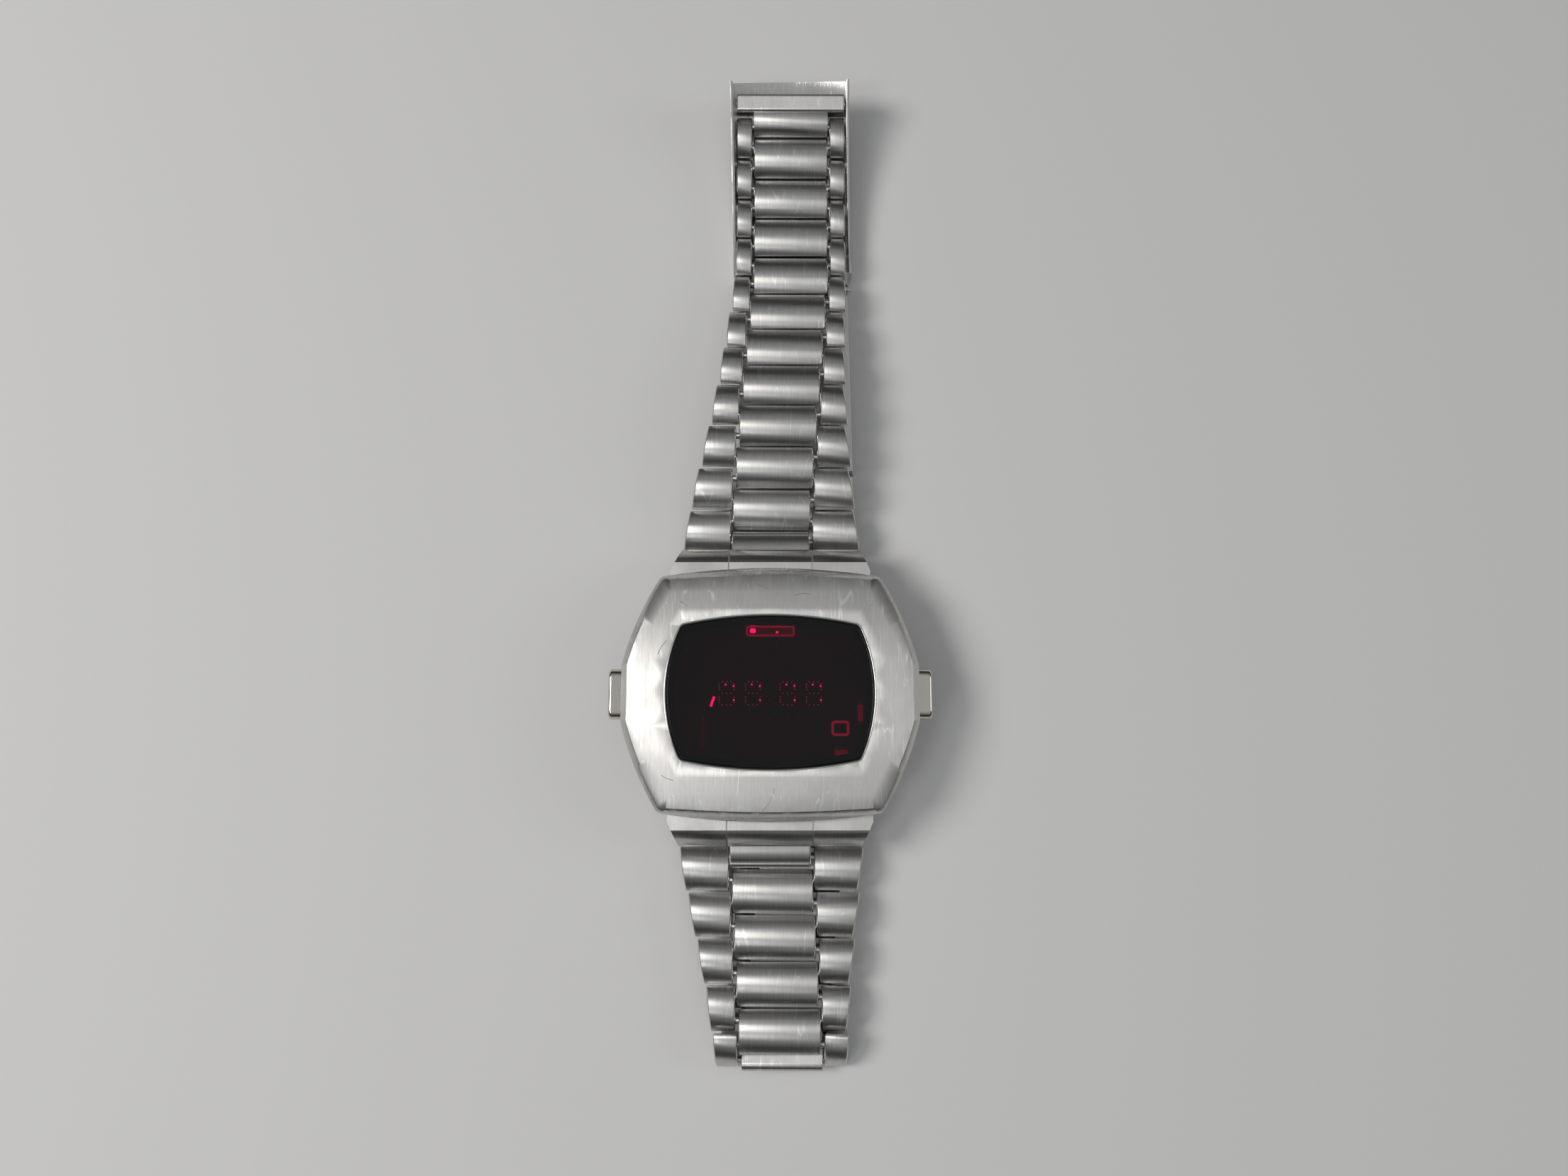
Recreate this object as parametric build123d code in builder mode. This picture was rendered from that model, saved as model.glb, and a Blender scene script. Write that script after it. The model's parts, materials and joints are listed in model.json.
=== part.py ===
"""A digital wristwatch with a red light display, on a steel bracelet of staggered links.

It lies on its back with the folding clasp open: the bracelet's upper run goes from the case's
12 o'clock end to the clasp cover, and its lower run goes out from the 6 o'clock end, turns under
itself and comes back beneath the case as hidden links and the clasp's two blades.

Millimetres. +X is 3 o'clock, +Y is 12 o'clock and +Z is up. The origin is on the ground under
the middle of the case, at the underside of the clasp's long blade.
"""
from build123d import *
import os
from math import asin, atan2, cos, degrees, radians, sin, sqrt, tan

os.makedirs("parts", exist_ok=True)

# Overall
overrun = 1.0  # how far cuts run past what they cut
fit = 0.04  # radial clearance of a pin that turns in its hole
held_gap = 0.01  # around a pin that is held fast, so that it stays a piece of its own
slide_fit = 0.1  # clearance of flat pieces that slide or stand next to each other

# Case
case_width = 40.0
case_length = 34.0
case_corner_across_share = 0.745  # where the ends of the case meet its sides, before rounding
case_corner_along_share = 0.93
case_side_flat = 7.4  # straight stretch in the middle of each side
case_side_bow = 0.45  # how far the slanted sides swell past a straight line
case_corner_radius = 1.3
bevel_angle = 40.0
bevel_depth = 2.6  # from the dome's top down to where the case is widest
dome_radius = 120.0
dome_lie = (90, 0, 0)  # turns the dome's sphere so that its poles are far from the case
flank_angle = 27.0
cavity_width_share = 0.71
cavity_length_share = 0.66
cavity_corner = 3.0
ledge_thickness = 0.8

# Crystal
crystal_width_share = 0.69
crystal_length_share = 0.594
crystal_corner_across_share = 0.855
crystal_corner_along_share = 0.876
crystal_corner_radius = 0.9
corner_across_share = 0.69  # how far a corner moves out when the outline grows evenly
corner_along_share = 0.875
crystal_thickness = 2.5
crystal_proud = 0.12
crystal_bevel = 0.22
crystal_ledge = 1.1
gasket_thickness = 0.16
gasket_recess = 0.1

# Case back
back_bottom_z = 1.15
back_thickness = 0.85
back_seat = 0.05  # between the back and the shell
back_rim = 1.25  # how far the back reaches past the cavity
back_corner = 6.0
back_edge = 0.3
spigot_height = 1.0
spigot_wall = 0.8
back_gasket_height = 0.45

# Movement
frame_height = 3.5
frame_lift = 0.15  # between the back's gasket and the module frame
frame_margin = 0.4  # between the module frame and the cavity
board_margin = 0.7  # between the board and the cavity
board_thickness = 0.6
board_gap = 0.05
parts_room = 1.15  # from the board up to the shell's ledge
cell_wall = 1.8  # of the module frame, beside the cells
cell_gap = 0.8  # between the cells
cell_lift = 0.95  # from the back up to the cells
cell_cap_share = 0.79
cell_cap_height = 0.35
contact_thickness = 0.2
contact_width_share = 0.72  # of a cell's radius
contact_rise = 0.55
display_width = 16.8
display_length = 4.6
display_base = 0.45
digit_count = 4
digit_width = 2.3
digit_height = 3.4
segment_width = 0.34
segment_height = 0.12
digit_pitch = 3.5
colon_gap = 1.1  # extra room between the middle digits
colon_dot = 0.4
sensor_width = 6.6
sensor_length = 1.5
sensor_height = 0.7
sensor_margin = 1.45  # from the board's end
chip_width = 7.4
chip_margin = 0.7  # from the display and from the board's end to its leads
chip_height = 0.8
chip_x = 0.6
chip_lead_width = 0.35
chip_lead_reach = 0.5
chip_lead_height = 0.2
chip_leads = 6
quartz_radius = 0.75
quartz_length_share = 0.56  # of the room beside the chip
quartz_margin = 4.9  # from the board's edge
trimmer_side = 1.9
trimmer_height = 0.8
trimmer_margin = 4.2  # from the board's edge
trimmer_slot_width = 0.3

# Buttons
button_length = 6.9
button_height = 2.5
button_proud = 1.9  # past the case's side
button_cap_depth = 3.1
button_edge = 0.45
button_travel = 0.6
button_drop = 2.4  # below the case's widest level
stem_radius = 0.75
stem_bore = 0.85
stem_margin = 0.4  # from the cavity to the stem's inner end
pocket_depth = 2.7
boss_margin = 0.75  # around the button
seal_wire = 0.2
seal_groove = 0.34
button_spring_wire = 0.18
button_spring_radius = 1.08
button_spring_turns = 3

# Links
half_pitch = 3.02  # from pin to pin
link_gap = 0.24  # between two links of one row
link_thickness = 2.1
centre_half_width = 5.45
side_clearance = 0.3  # between a centre link and the side links beside it
heel_share = 0.45  # of the thickness, the round of a link's lower ends, where its crowned top stops
link_edge = 0.14  # broken long edges
pin_radius = 0.45
pin_recess = 0.12
corner_step = 2.4  # from the case's corner in to the bracelet's edge
narrow_half_width = 8.0
# outer half width at each end of the side links, from the case outwards: 1 is wide, 0 is narrow
taper_shares = [1.0, 0.80, 0.58, 0.37, 0.22, 0.13, 0.07, 0.02, 0.0]

# Runs
first_pin_reach = 4.8  # past the case's end
first_pin_z = 3.7
# the slope of each piece of the upper run, in degrees above level, from the case outwards
upper_slopes = [10, 12, 13, 12, 9, 5, 1, -4, -8, -11, -12, -11, -9, -5, -1, 0, 2, 5, 9, 12, 14]
tee_slope = 15
upper_drift_start = 0.1
upper_drift = 2.75  # how far the upper run wanders to +X
upper_drift_pieces = 12
lower_piece_count = 8  # level pieces before the turn
turn_slopes = [38, 166]  # the two pieces of the turn, in degrees turned down from level
hidden_unit_count = 5
lower_drift_step = 0.16
hidden_drift_step = 0.28

# Tee at the end of the upper run
tee_bar_step = 0.07  # in from the bracelet's narrow edge
tee_bar_length = 2.6
tee_bar_thickness = 2.1
tee_bar_round = 0.45
tee_reach = 3.3  # from its pin to the middle of the bar
spring_bar_radius = 0.6
spring_bar_proud = 0.1  # past the bar's ends

# End pieces
end_reach = 3.25  # past the case's end
end_corner_step = 1.2  # in from the case's corner
end_edge_step = 0.25  # in from the bracelet's edge
end_band = 1.1  # level band along the case's end
end_band_drop = 1.5  # below the case's widest level
end_outer_z = 6.1
end_crown = 0.22
end_bottom_z = 3.0
end_groove = 0.22
end_groove_depth = 0.4
nose_drop = 0.35  # from the hood's edge down to the nose
nose_fall = 0.75
nose_round = 0.7
nose_edge = 0.22
end_bar_reach = 1.2  # past the case's end
end_bar_z = 5.0
end_bar_radius = 0.7
end_bar_gap = 0.5  # from the bar's shoulder to the lug
end_bar_tip_radius = 0.35
end_bar_tip = 1.2
lug_step = 2.6  # in from the bracelet's edge
lug_width = 1.2
lug_reach = 2.0  # past the case's end
lug_bottom_z = 3.9
lug_top_z = 5.9
lug_clearance = 0.15

# Clasp
tee_offset = 0.15  # how far the tee's bar lies to +X of the clasp's middle
blade_step = 0.2  # out from the bracelet's narrow edge
blade_thickness = 0.7
blade_edge = 0.15
knuckle_radius = 0.75
hinge_pin_radius = 0.35
hinge_offset = 0.08  # between a hinge's axis and the faces that fold together
long_blade_rise = 26.1  # the length of the long blade that rises towards its hinge
short_length = 29.1  # between the short blade's two hinges
cover_reach = 26.7  # from the tee's bar back to the cover's hinge
short_blade_low = 0.1  # height of the short blade's end at the cover
cover_step = 0.75  # out from the bracelet's narrow edge
cover_sheet = 0.4
cover_wall = 3.3
tee_clearance = 0.45  # between the tee's bar and the cover's floor
cover_flat = 3.0  # from its hinge to where it starts to curve up
cover_beyond = 3.8  # from the tee's bar on to the cover's end
cover_holes = 3
cover_hole_radius = 0.55
cover_hole_pitch = 2.6
cover_rib_length = 13.0
blade_eye_radius = 1.0
blade_window_length = 1.7
blade_window_width = 1.0
blade_window_inset = 0.6
blade_window_back = 3.5  # from the fold hinge

# Sizes that follow from those above
case_corner_x = case_width / 2 * case_corner_across_share
case_corner_y = case_length / 2 * case_corner_along_share
cavity_width = case_width * cavity_width_share
cavity_length = case_length * cavity_length_share
crystal_width = case_width * crystal_width_share
crystal_length = case_length * crystal_length_share
crystal_corner_x = crystal_width / 2 * crystal_corner_across_share
crystal_corner_y = crystal_length / 2 * crystal_corner_along_share
back_width = cavity_width + 2 * back_rim
back_length = cavity_length + 2 * back_rim
back_top_z = back_bottom_z + back_thickness
shell_bottom_z = back_top_z + back_seat
frame_bottom_z = back_top_z + spigot_height + back_gasket_height + frame_lift
frame_top_z = frame_bottom_z + frame_height
board_z = frame_top_z + board_gap
board_top = board_z + board_thickness
cavity_top_z = board_top + parts_room
crystal_seat_z = cavity_top_z + ledge_thickness
dome_top_z = crystal_seat_z + crystal_thickness
widest_z = dome_top_z - bevel_depth
frame_width = cavity_width - 2 * frame_margin
frame_length = cavity_length - 2 * frame_margin
board_width = cavity_width - 2 * board_margin
board_length = cavity_length - 2 * board_margin
cell_radius = (frame_width - cell_gap - 2 * cell_wall) / 4
cell_spacing = 2 * cell_radius + cell_gap
contact_width = cell_radius * contact_width_share
cell_bottom_z = back_top_z + cell_lift
cell_height = frame_top_z - board_gap - cell_bottom_z
chip_room = (board_length - display_length) / 2  # between the display and the board's end
chip_length = chip_room - 2 * (chip_margin + chip_lead_reach)
chip_y = -(display_length + chip_room) / 2
quartz_length = chip_room * quartz_length_share
quartz_x = quartz_margin - board_width / 2
quartz_y = -(display_length + quartz_length) / 2 - chip_margin
trimmer_x = board_width / 2 - trimmer_margin
trimmer_y = -(display_length + trimmer_side) / 2 - 2 * chip_margin
sensor_y = (board_length - sensor_length) / 2 - sensor_margin
button_face_x = case_width / 2 + button_proud
boss_face_x = case_width / 2
pocket_floor_x = boss_face_x - pocket_depth
button_z = widest_z - button_drop
stem_inner_x = cavity_width / 2 + stem_margin
seal_x = (cavity_width / 2 + pocket_floor_x) / 2
pitch = 2 * half_pitch
stub = (pitch - link_gap - half_pitch) / 2  # how far a link runs past its pins
side_inner = centre_half_width + side_clearance
half_thickness = link_thickness / 2
heel_radius = link_thickness * heel_share
wide_half_width = case_corner_x - corner_step
first_pin_y = case_length / 2 + first_pin_reach
tee_bar_half_width = narrow_half_width - tee_bar_step
spring_bar_half_length = tee_bar_half_width + spring_bar_proud
blade_half_width = narrow_half_width + blade_step
cover_half_width = narrow_half_width + cover_step
end_outer_y = case_length / 2 + end_reach
end_half_width = case_corner_x - end_corner_step
end_outer_half_width = wide_half_width - end_edge_step
end_band_y = case_length / 2 + end_band
end_band_z = widest_z - end_band_drop
nose_top_z = end_outer_z - nose_drop
end_bar_y = case_length / 2 + end_bar_reach
lug_inner_x = wide_half_width - lug_step
lug_outer_y = case_length / 2 + lug_reach
end_bar_half_length = lug_inner_x - end_bar_gap


def save(builder, label):
    """Labels a finished piece and writes it to its own file."""
    builder.part.label = label
    export_step(builder.part, f"parts/{label}.step")


def group(*pieces):
    """Gathers solids that stand clear of each other in one piece."""
    with BuildPart() as gathered:
        for piece in pieces:
            add(piece)
    return gathered


def chain_plane(x, pin, angle, run):
    """The plane of a link's side profile: its x axis runs along the chain and its y axis points out."""
    along = (0, cos(radians(angle)), sin(radians(angle)))
    return Plane(origin=(x, pin[0], pin[1]), x_dir=along, z_dir=(run, 0, 0))


def next_pin(pin, angle, length=half_pitch):
    """The point that lies a length further along a chain's side view."""
    return pin[0] + length * cos(radians(angle)), pin[1] + length * sin(radians(angle))


def taper(boundary):
    """The bracelet's outer half width at a boundary between side links, counted from the case."""
    share = taper_shares[min(boundary, len(taper_shares) - 1)]
    return narrow_half_width + (wide_half_width - narrow_half_width) * share


def link_profile(length=half_pitch):
    """Draws a link's side view, from its first pin, with a crowned top and round heels."""
    start, end = -stub, length + stub
    heel = heel_radius - half_thickness
    corner = heel_radius * (1 - sqrt(0.5))
    with BuildSketch() as profile:
        with BuildLine():
            ThreePointArc((start, heel), (length / 2, half_thickness), (end, heel))
            ThreePointArc((end, heel), (end - corner, corner - half_thickness), (end - heel_radius, -half_thickness))
            Line((end - heel_radius, -half_thickness), (start + heel_radius, -half_thickness))
            ThreePointArc((start + heel_radius, -half_thickness), (start + corner, corner - half_thickness),
                          (start, heel))
        make_face()
    return profile.sketch


link_outline = link_profile()


def centre_link(pin, angle, run, x):
    """A centre link with a running hole at each pin."""
    with BuildPart() as link:
        with BuildSketch(chain_plane(x - run * centre_half_width, pin, angle, run)):
            add(link_outline)
        extrude(amount=2 * centre_half_width)
        ends = link.faces().sort_by(Axis.X)
        chamfer(ends[0].edges() + ends[-1].edges(), length=link_edge)
        with BuildSketch(chain_plane(x - run * (centre_half_width + overrun), pin, angle, run)):
            with Locations((0, 0), (half_pitch, 0)):
                Circle(pin_radius + fit)
        extrude(amount=2 * (centre_half_width + overrun), mode=Mode.SUBTRACT)
    return link


def side_link(pin, angle, run, x, side, start_half, end_half):
    """One of the two side links of a row, with its outer edge slanted to the bracelet's taper."""
    widest = max(start_half, end_half)
    left = side == -run
    first = x - run * widest if left else x + run * side_inner
    slant_plane = Plane(origin=(x, pin[0], pin[1]), x_dir=(0, cos(radians(angle)), sin(radians(angle))),
                        z_dir=(0, -run * sin(radians(angle)), run * cos(radians(angle))))
    with BuildPart() as link:
        with BuildSketch(chain_plane(first, pin, angle, run)):
            add(link_outline)
        extrude(amount=widest - side_inner)
        if start_half != end_half:
            # seen from outside, the sketch's y axis is world -X on the upper run and +X on the lower
            out = -side * run
            with BuildSketch(slant_plane.offset(-link_thickness)):
                with BuildLine():
                    Polyline((-stub, 0), (-stub, out * start_half), (half_pitch + stub, out * end_half),
                             (half_pitch + stub, 0), close=True)
                make_face()
            extrude(amount=2 * link_thickness, mode=Mode.INTERSECT)
        ends = link.faces().sort_by(Axis.X)
        chamfer(ends[0].edges() + ends[-1].edges(), length=link_edge)
        with BuildSketch(chain_plane(x - run * (widest + overrun), pin, angle, run)):
            with Locations((0, 0), (half_pitch, 0)):
                Circle(pin_radius + held_gap)
        extrude(amount=2 * (widest + overrun), mode=Mode.SUBTRACT)
    return link.part


def pin_between(pin, run, x, half_length):
    """A pin across the bracelet."""
    with BuildPart() as rod:
        with BuildSketch(chain_plane(x - run * half_length, pin, 0, run)):
            Circle(pin_radius)
        extrude(amount=2 * half_length)
    return rod.part


def side_pair(pin, angle, run, x, boundary):
    """A row's two side links with the two pins that they hold, as separate solids of one node."""
    start_half, end_half = taper(boundary), taper(boundary + 1)
    far = next_pin(pin, angle)
    slope = (start_half - end_half) / (half_pitch + 2 * stub)
    near_half = start_half - slope * stub - pin_recess
    far_half = start_half - slope * (half_pitch + stub) - pin_recess
    pieces = [side_link(pin, angle, run, x, side, start_half, end_half) for side in (-1, 1)]
    pieces.append(pin_between(pin, run, x, near_half - slope * pin_radius))
    pieces.append(pin_between(far, run, x, far_half - slope * pin_radius))
    return group(*pieces)


# Upper run: pins, slopes and sideways places of its pieces, from the case outwards
upper_pieces = []
pin = (first_pin_y, first_pin_z)
for index, slope in enumerate(upper_slopes):
    share = min(max((index - 1) / upper_drift_pieces, 0), 1)
    upper_pieces.append({"pin": pin, "angle": slope, "x": upper_drift_start + upper_drift * share})
    pin = next_pin(pin, slope)
tee_pin = pin
tee_x = upper_drift_start + upper_drift

# Lower run: level pieces, the turn, and the hidden double links that lead to the long blade
hidden_pin_z = half_thickness
hidden_start = (0, hidden_pin_z)
turn_low, turn_back = turn_slopes
drop = half_pitch * (sin(radians(turn_low)) + sin(radians(turn_back)))
lower_pin_z = hidden_pin_z + drop
level_slope = degrees(asin((lower_pin_z - first_pin_z) / (lower_piece_count * half_pitch)))
lower_pieces = []
pin = (-first_pin_y, first_pin_z)
for index in range(lower_piece_count + len(turn_slopes)):
    if index < lower_piece_count:
        angle = 180 - level_slope
    else:
        angle = 180 + turn_slopes[index - lower_piece_count]
    lower_pieces.append({"pin": pin, "angle": angle, "x": lower_drift_step * (index + 1)})
    pin = next_pin(pin, angle)
hidden_units = []
hidden_x = lower_pieces[-1]["x"]
for index in range(hidden_unit_count):
    hidden_units.append({"pin": pin, "angle": 360, "x": hidden_x + hidden_drift_step})
    hidden_x += 2 * hidden_drift_step
    pin = (pin[0] + pitch, pin[1])
blade_pin = pin
blade_x = hidden_x + slide_fit

# Upper run
for index, piece in enumerate(upper_pieces):
    row = index // 2
    if index % 2 == 0:
        save(side_pair(piece["pin"], piece["angle"], 1, piece["x"], row), f"upper_side_links_{row + 1:02d}")
    else:
        save(centre_link(piece["pin"], piece["angle"], 1, piece["x"]), f"upper_centre_link_{row + 1:02d}")

# Tee at the upper run's end, with the spring bar that the cover is hung on
tee_middle = next_pin(tee_pin, tee_slope, tee_reach)
tee_outline = link_profile(tee_reach - stub)
with BuildPart() as tee:
    with BuildSketch(chain_plane(tee_x - centre_half_width, tee_pin, tee_slope, 1)):
        add(tee_outline)
    extrude(amount=2 * centre_half_width)
    with BuildSketch(chain_plane(tee_x - tee_bar_half_width, tee_middle, tee_slope, 1)):
        RectangleRounded(tee_bar_length, tee_bar_thickness, tee_bar_round)
    extrude(amount=2 * tee_bar_half_width)
    tee_ends = [tee.faces().sort_by(Axis.X)[0], tee.faces().sort_by(Axis.X)[-1]]
    chamfer([edge for face in tee_ends for edge in face.edges()], length=link_edge)
    with BuildSketch(chain_plane(tee_x - centre_half_width - overrun, tee_pin, tee_slope, 1)):
        Circle(pin_radius + fit)
    extrude(amount=2 * (centre_half_width + overrun), mode=Mode.SUBTRACT)
    with BuildSketch(chain_plane(tee_x - tee_bar_half_width - overrun, tee_middle, tee_slope, 1)):
        Circle(spring_bar_radius + held_gap)
    extrude(amount=2 * (tee_bar_half_width + overrun), mode=Mode.SUBTRACT)
with BuildPart() as tee_spring_bar:
    with BuildSketch(chain_plane(tee_x - spring_bar_half_length, tee_middle, tee_slope, 1)):
        Circle(spring_bar_radius)
    extrude(amount=2 * spring_bar_half_length)
save(group(tee.part, tee_spring_bar.part), "bracelet_tee")

# Lower run
for index, piece in enumerate(lower_pieces):
    row = index // 2
    if index % 2 == 0:
        save(side_pair(piece["pin"], piece["angle"], -1, piece["x"], row), f"lower_side_links_{row + 1:02d}")
    else:
        save(centre_link(piece["pin"], piece["angle"], -1, piece["x"]), f"lower_centre_link_{row + 1:02d}")

# Hidden double links
for index, unit in enumerate(hidden_units):
    row = len(lower_pieces) // 2 + index
    far = (unit["pin"][0] + half_pitch, unit["pin"][1])
    sides = side_pair(unit["pin"], unit["angle"], -1, unit["x"], row)
    middle = centre_link(far, unit["angle"], -1, unit["x"] + hidden_drift_step)
    save(group(sides.part, middle.part), f"hidden_links_{index + 1}")

# Clasp, drawn in a frame that turns about the long blade's end so that the cover lies under the tee
yaw = atan2(blade_x + tee_offset - tee_x, tee_middle[0] - blade_pin[0])
clasp_origin = (blade_x, blade_pin[0])
clasp_across = (cos(yaw), sin(yaw), 0)
clasp_along = (-sin(yaw), cos(yaw), 0)


def clasp_point(across, along, z):
    """A point of the clasp: across it from its middle line, and at a world Y along it."""
    run = (along - clasp_origin[1]) / cos(yaw)
    return (clasp_origin[0] + across * cos(yaw) - run * sin(yaw),
            clasp_origin[1] + across * sin(yaw) + run * cos(yaw), z)


def clasp_side(across, along, z, angle=0):
    """A plane across the clasp for side profiles: x runs along the clasp and y points up."""
    tilt = radians(angle)
    x_dir = (clasp_along[0] * cos(tilt), clasp_along[1] * cos(tilt), sin(tilt))
    return Plane(origin=clasp_point(across, along, z), x_dir=x_dir, z_dir=clasp_across)


def clasp_flat(along, z):
    """A level plane over the clasp: x runs across it and y along it."""
    return Plane(origin=clasp_point(0, along, z), x_dir=clasp_across, z_dir=(0, 0, 1))


cover_hinge_y = tee_middle[0] - cover_reach
fold_hinge_y = cover_hinge_y - short_length
long_blade_rise_y = fold_hinge_y - long_blade_rise
cover_end_y = tee_middle[0] + cover_beyond
fold_pin_z = knuckle_radius
fold_face_z = fold_pin_z + hinge_offset  # underside of both blades at the fold hinge
cover_pin_z = short_blade_low + blade_thickness + hinge_offset
short_angle = degrees(atan2(short_blade_low - fold_face_z, short_length))
cover_arc_start = cover_hinge_y + cover_flat
# the cover's curve passes under the tee's bar
tee_run = tee_middle[0] - cover_arc_start
tee_lift = tee_bar_thickness / 2 + cover_sheet + tee_clearance
cover_radius = (tee_run**2 + tee_middle[1]**2 - tee_lift**2) / (2 * (tee_middle[1] - tee_lift))
knuckle_gap = slide_fit
knuckle_width = (2 * blade_half_width - 4 * knuckle_gap) / 5


def knuckles(along, z, places):
    """Hinge knuckles at the given places, out of five across the clasp."""
    with BuildPart() as rolls:
        for place in places:
            across = -blade_half_width + place * (knuckle_width + knuckle_gap)
            with BuildSketch(clasp_side(across, along, z)):
                Circle(knuckle_radius)
            extrude(amount=knuckle_width)
    return rolls.part


def knuckle_rooms(along, z, places):
    """The room for the other leaf's knuckles at the given places."""
    room = knuckle_radius + slide_fit
    with BuildPart() as rooms:
        for place in places:
            across = -blade_half_width + place * (knuckle_width + knuckle_gap) - knuckle_gap
            with BuildSketch(clasp_side(across, along, z)):
                Rectangle(2 * room, 4 * knuckle_radius)
            extrude(amount=knuckle_width + 2 * knuckle_gap)
    return rooms.part


def cross_rod(along, z, half_width, radius):
    """A round rod right across the clasp, for a hinge pin or for its hole."""
    with BuildPart() as rod:
        with BuildSketch(clasp_side(-half_width, along, z)):
            Circle(radius)
        extrude(amount=2 * half_width)
    return rod.part


outer_leaf, inner_leaf = (0, 2, 4), (1, 3)
rest_end_y = blade_pin[0]
arm_end_y = blade_pin[0] + stub + link_gap

# Long blade: flat on the ground under the case, rising to the fold hinge
fold_outer = knuckles(fold_hinge_y, fold_pin_z, outer_leaf)
fold_outer_rooms = knuckle_rooms(fold_hinge_y, fold_pin_z, outer_leaf)
fold_inner = knuckles(fold_hinge_y, fold_pin_z, inner_leaf)
fold_inner_rooms = knuckle_rooms(fold_hinge_y, fold_pin_z, inner_leaf)
fold_held_hole = cross_rod(fold_hinge_y, fold_pin_z, blade_half_width + overrun, hinge_pin_radius + held_gap)
fold_free_hole = cross_rod(fold_hinge_y, fold_pin_z, blade_half_width + overrun, hinge_pin_radius + fit)
fold_pin = cross_rod(fold_hinge_y, fold_pin_z, blade_half_width, hinge_pin_radius)
with BuildPart() as long_blade:
    with BuildSketch(clasp_side(-blade_half_width, 0, 0)):
        with BuildLine():
            Polyline((rest_end_y, 0), (long_blade_rise_y, 0), (fold_hinge_y, fold_face_z),
                     (fold_hinge_y, fold_face_z + blade_thickness), (long_blade_rise_y, blade_thickness),
                     (rest_end_y, blade_thickness), close=True)
        make_face()
    extrude(amount=2 * blade_half_width)
    add(fold_inner_rooms, mode=Mode.SUBTRACT)
    add(fold_outer)
    add(fold_held_hole, mode=Mode.SUBTRACT)
    # eyes at the bracelet's end, square to the last link's pin
    for side in (-1, 1):
        eye_start = blade_x + side * side_inner if side > 0 else blade_x - blade_half_width
        with BuildSketch(Plane(origin=(eye_start, blade_pin[0], blade_pin[1]), x_dir=(0, 1, 0), z_dir=(1, 0, 0))):
            Circle(blade_eye_radius)
        extrude(amount=blade_half_width - side_inner)
    with BuildSketch(Plane.XY.offset(-overrun)):
        with Locations((blade_x, blade_pin[0])):
            Rectangle(2 * side_inner, 2 * (arm_end_y - blade_pin[0]))
    extrude(amount=blade_thickness + 2 * overrun, mode=Mode.SUBTRACT)
    with BuildSketch(Plane(origin=(blade_x - blade_half_width - overrun, blade_pin[0], blade_pin[1]),
                           x_dir=(0, 1, 0), z_dir=(1, 0, 0))):
        Circle(pin_radius + held_gap)
    extrude(amount=2 * (blade_half_width + overrun), mode=Mode.SUBTRACT)
    window_x = blade_half_width - blade_window_inset - blade_window_width / 2
    with BuildSketch(clasp_flat(fold_hinge_y - blade_window_back, -overrun)):
        with Locations((-window_x, 0), (window_x, 0)):
            RectangleRounded(blade_window_width, blade_window_length, blade_window_width / 3)
    extrude(amount=2 * (blade_thickness + overrun), mode=Mode.SUBTRACT)
with BuildPart() as blade_link_pin:
    with BuildSketch(Plane(origin=(blade_x - blade_half_width, blade_pin[0], blade_pin[1]),
                           x_dir=(0, 1, 0), z_dir=(1, 0, 0))):
        Circle(pin_radius)
    extrude(amount=2 * blade_half_width)
save(group(long_blade.part, blade_link_pin.part, fold_pin), "clasp_long_blade")

# Short blade: from the fold hinge down to the cover's hinge
cover_outer = knuckles(cover_hinge_y, cover_pin_z, outer_leaf)
cover_outer_rooms = knuckle_rooms(cover_hinge_y, cover_pin_z, outer_leaf)
cover_inner_knuckles = knuckles(cover_hinge_y, cover_pin_z, inner_leaf)
cover_inner_rooms = knuckle_rooms(cover_hinge_y, cover_pin_z, inner_leaf)
cover_free_hole = cross_rod(cover_hinge_y, cover_pin_z, blade_half_width + overrun, hinge_pin_radius + fit)
cover_held_hole = cross_rod(cover_hinge_y, cover_pin_z, blade_half_width + overrun, hinge_pin_radius + held_gap)
cover_pin = cross_rod(cover_hinge_y, cover_pin_z, blade_half_width, hinge_pin_radius)
with BuildPart() as short_blade:
    with BuildSketch(clasp_side(-blade_half_width, 0, 0)):
        with BuildLine():
            Polyline((fold_hinge_y, fold_face_z), (cover_hinge_y, short_blade_low),
                     (cover_hinge_y, short_blade_low + blade_thickness),
                     (fold_hinge_y, fold_face_z + blade_thickness), close=True)
        make_face()
    extrude(amount=2 * blade_half_width)
    add(fold_outer_rooms, mode=Mode.SUBTRACT)
    add(cover_outer_rooms, mode=Mode.SUBTRACT)
    add(fold_inner)
    add(cover_inner_knuckles)
    add(fold_free_hole, mode=Mode.SUBTRACT)
    add(cover_free_hole, mode=Mode.SUBTRACT)
save(short_blade, "clasp_short_blade")

# Cover: a curved channel of sheet, open side up
cover_inner = cover_half_width - cover_sheet
cover_end_run = cover_end_y - cover_arc_start
cover_end_turn = asin(cover_end_run / cover_radius)


def cover_curve(height, turn):
    """A point of the cover's side view: a height above its underside, a turn along its curve."""
    radius = cover_radius - height
    return cover_arc_start + radius * sin(turn), cover_radius - radius * cos(turn)


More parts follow.
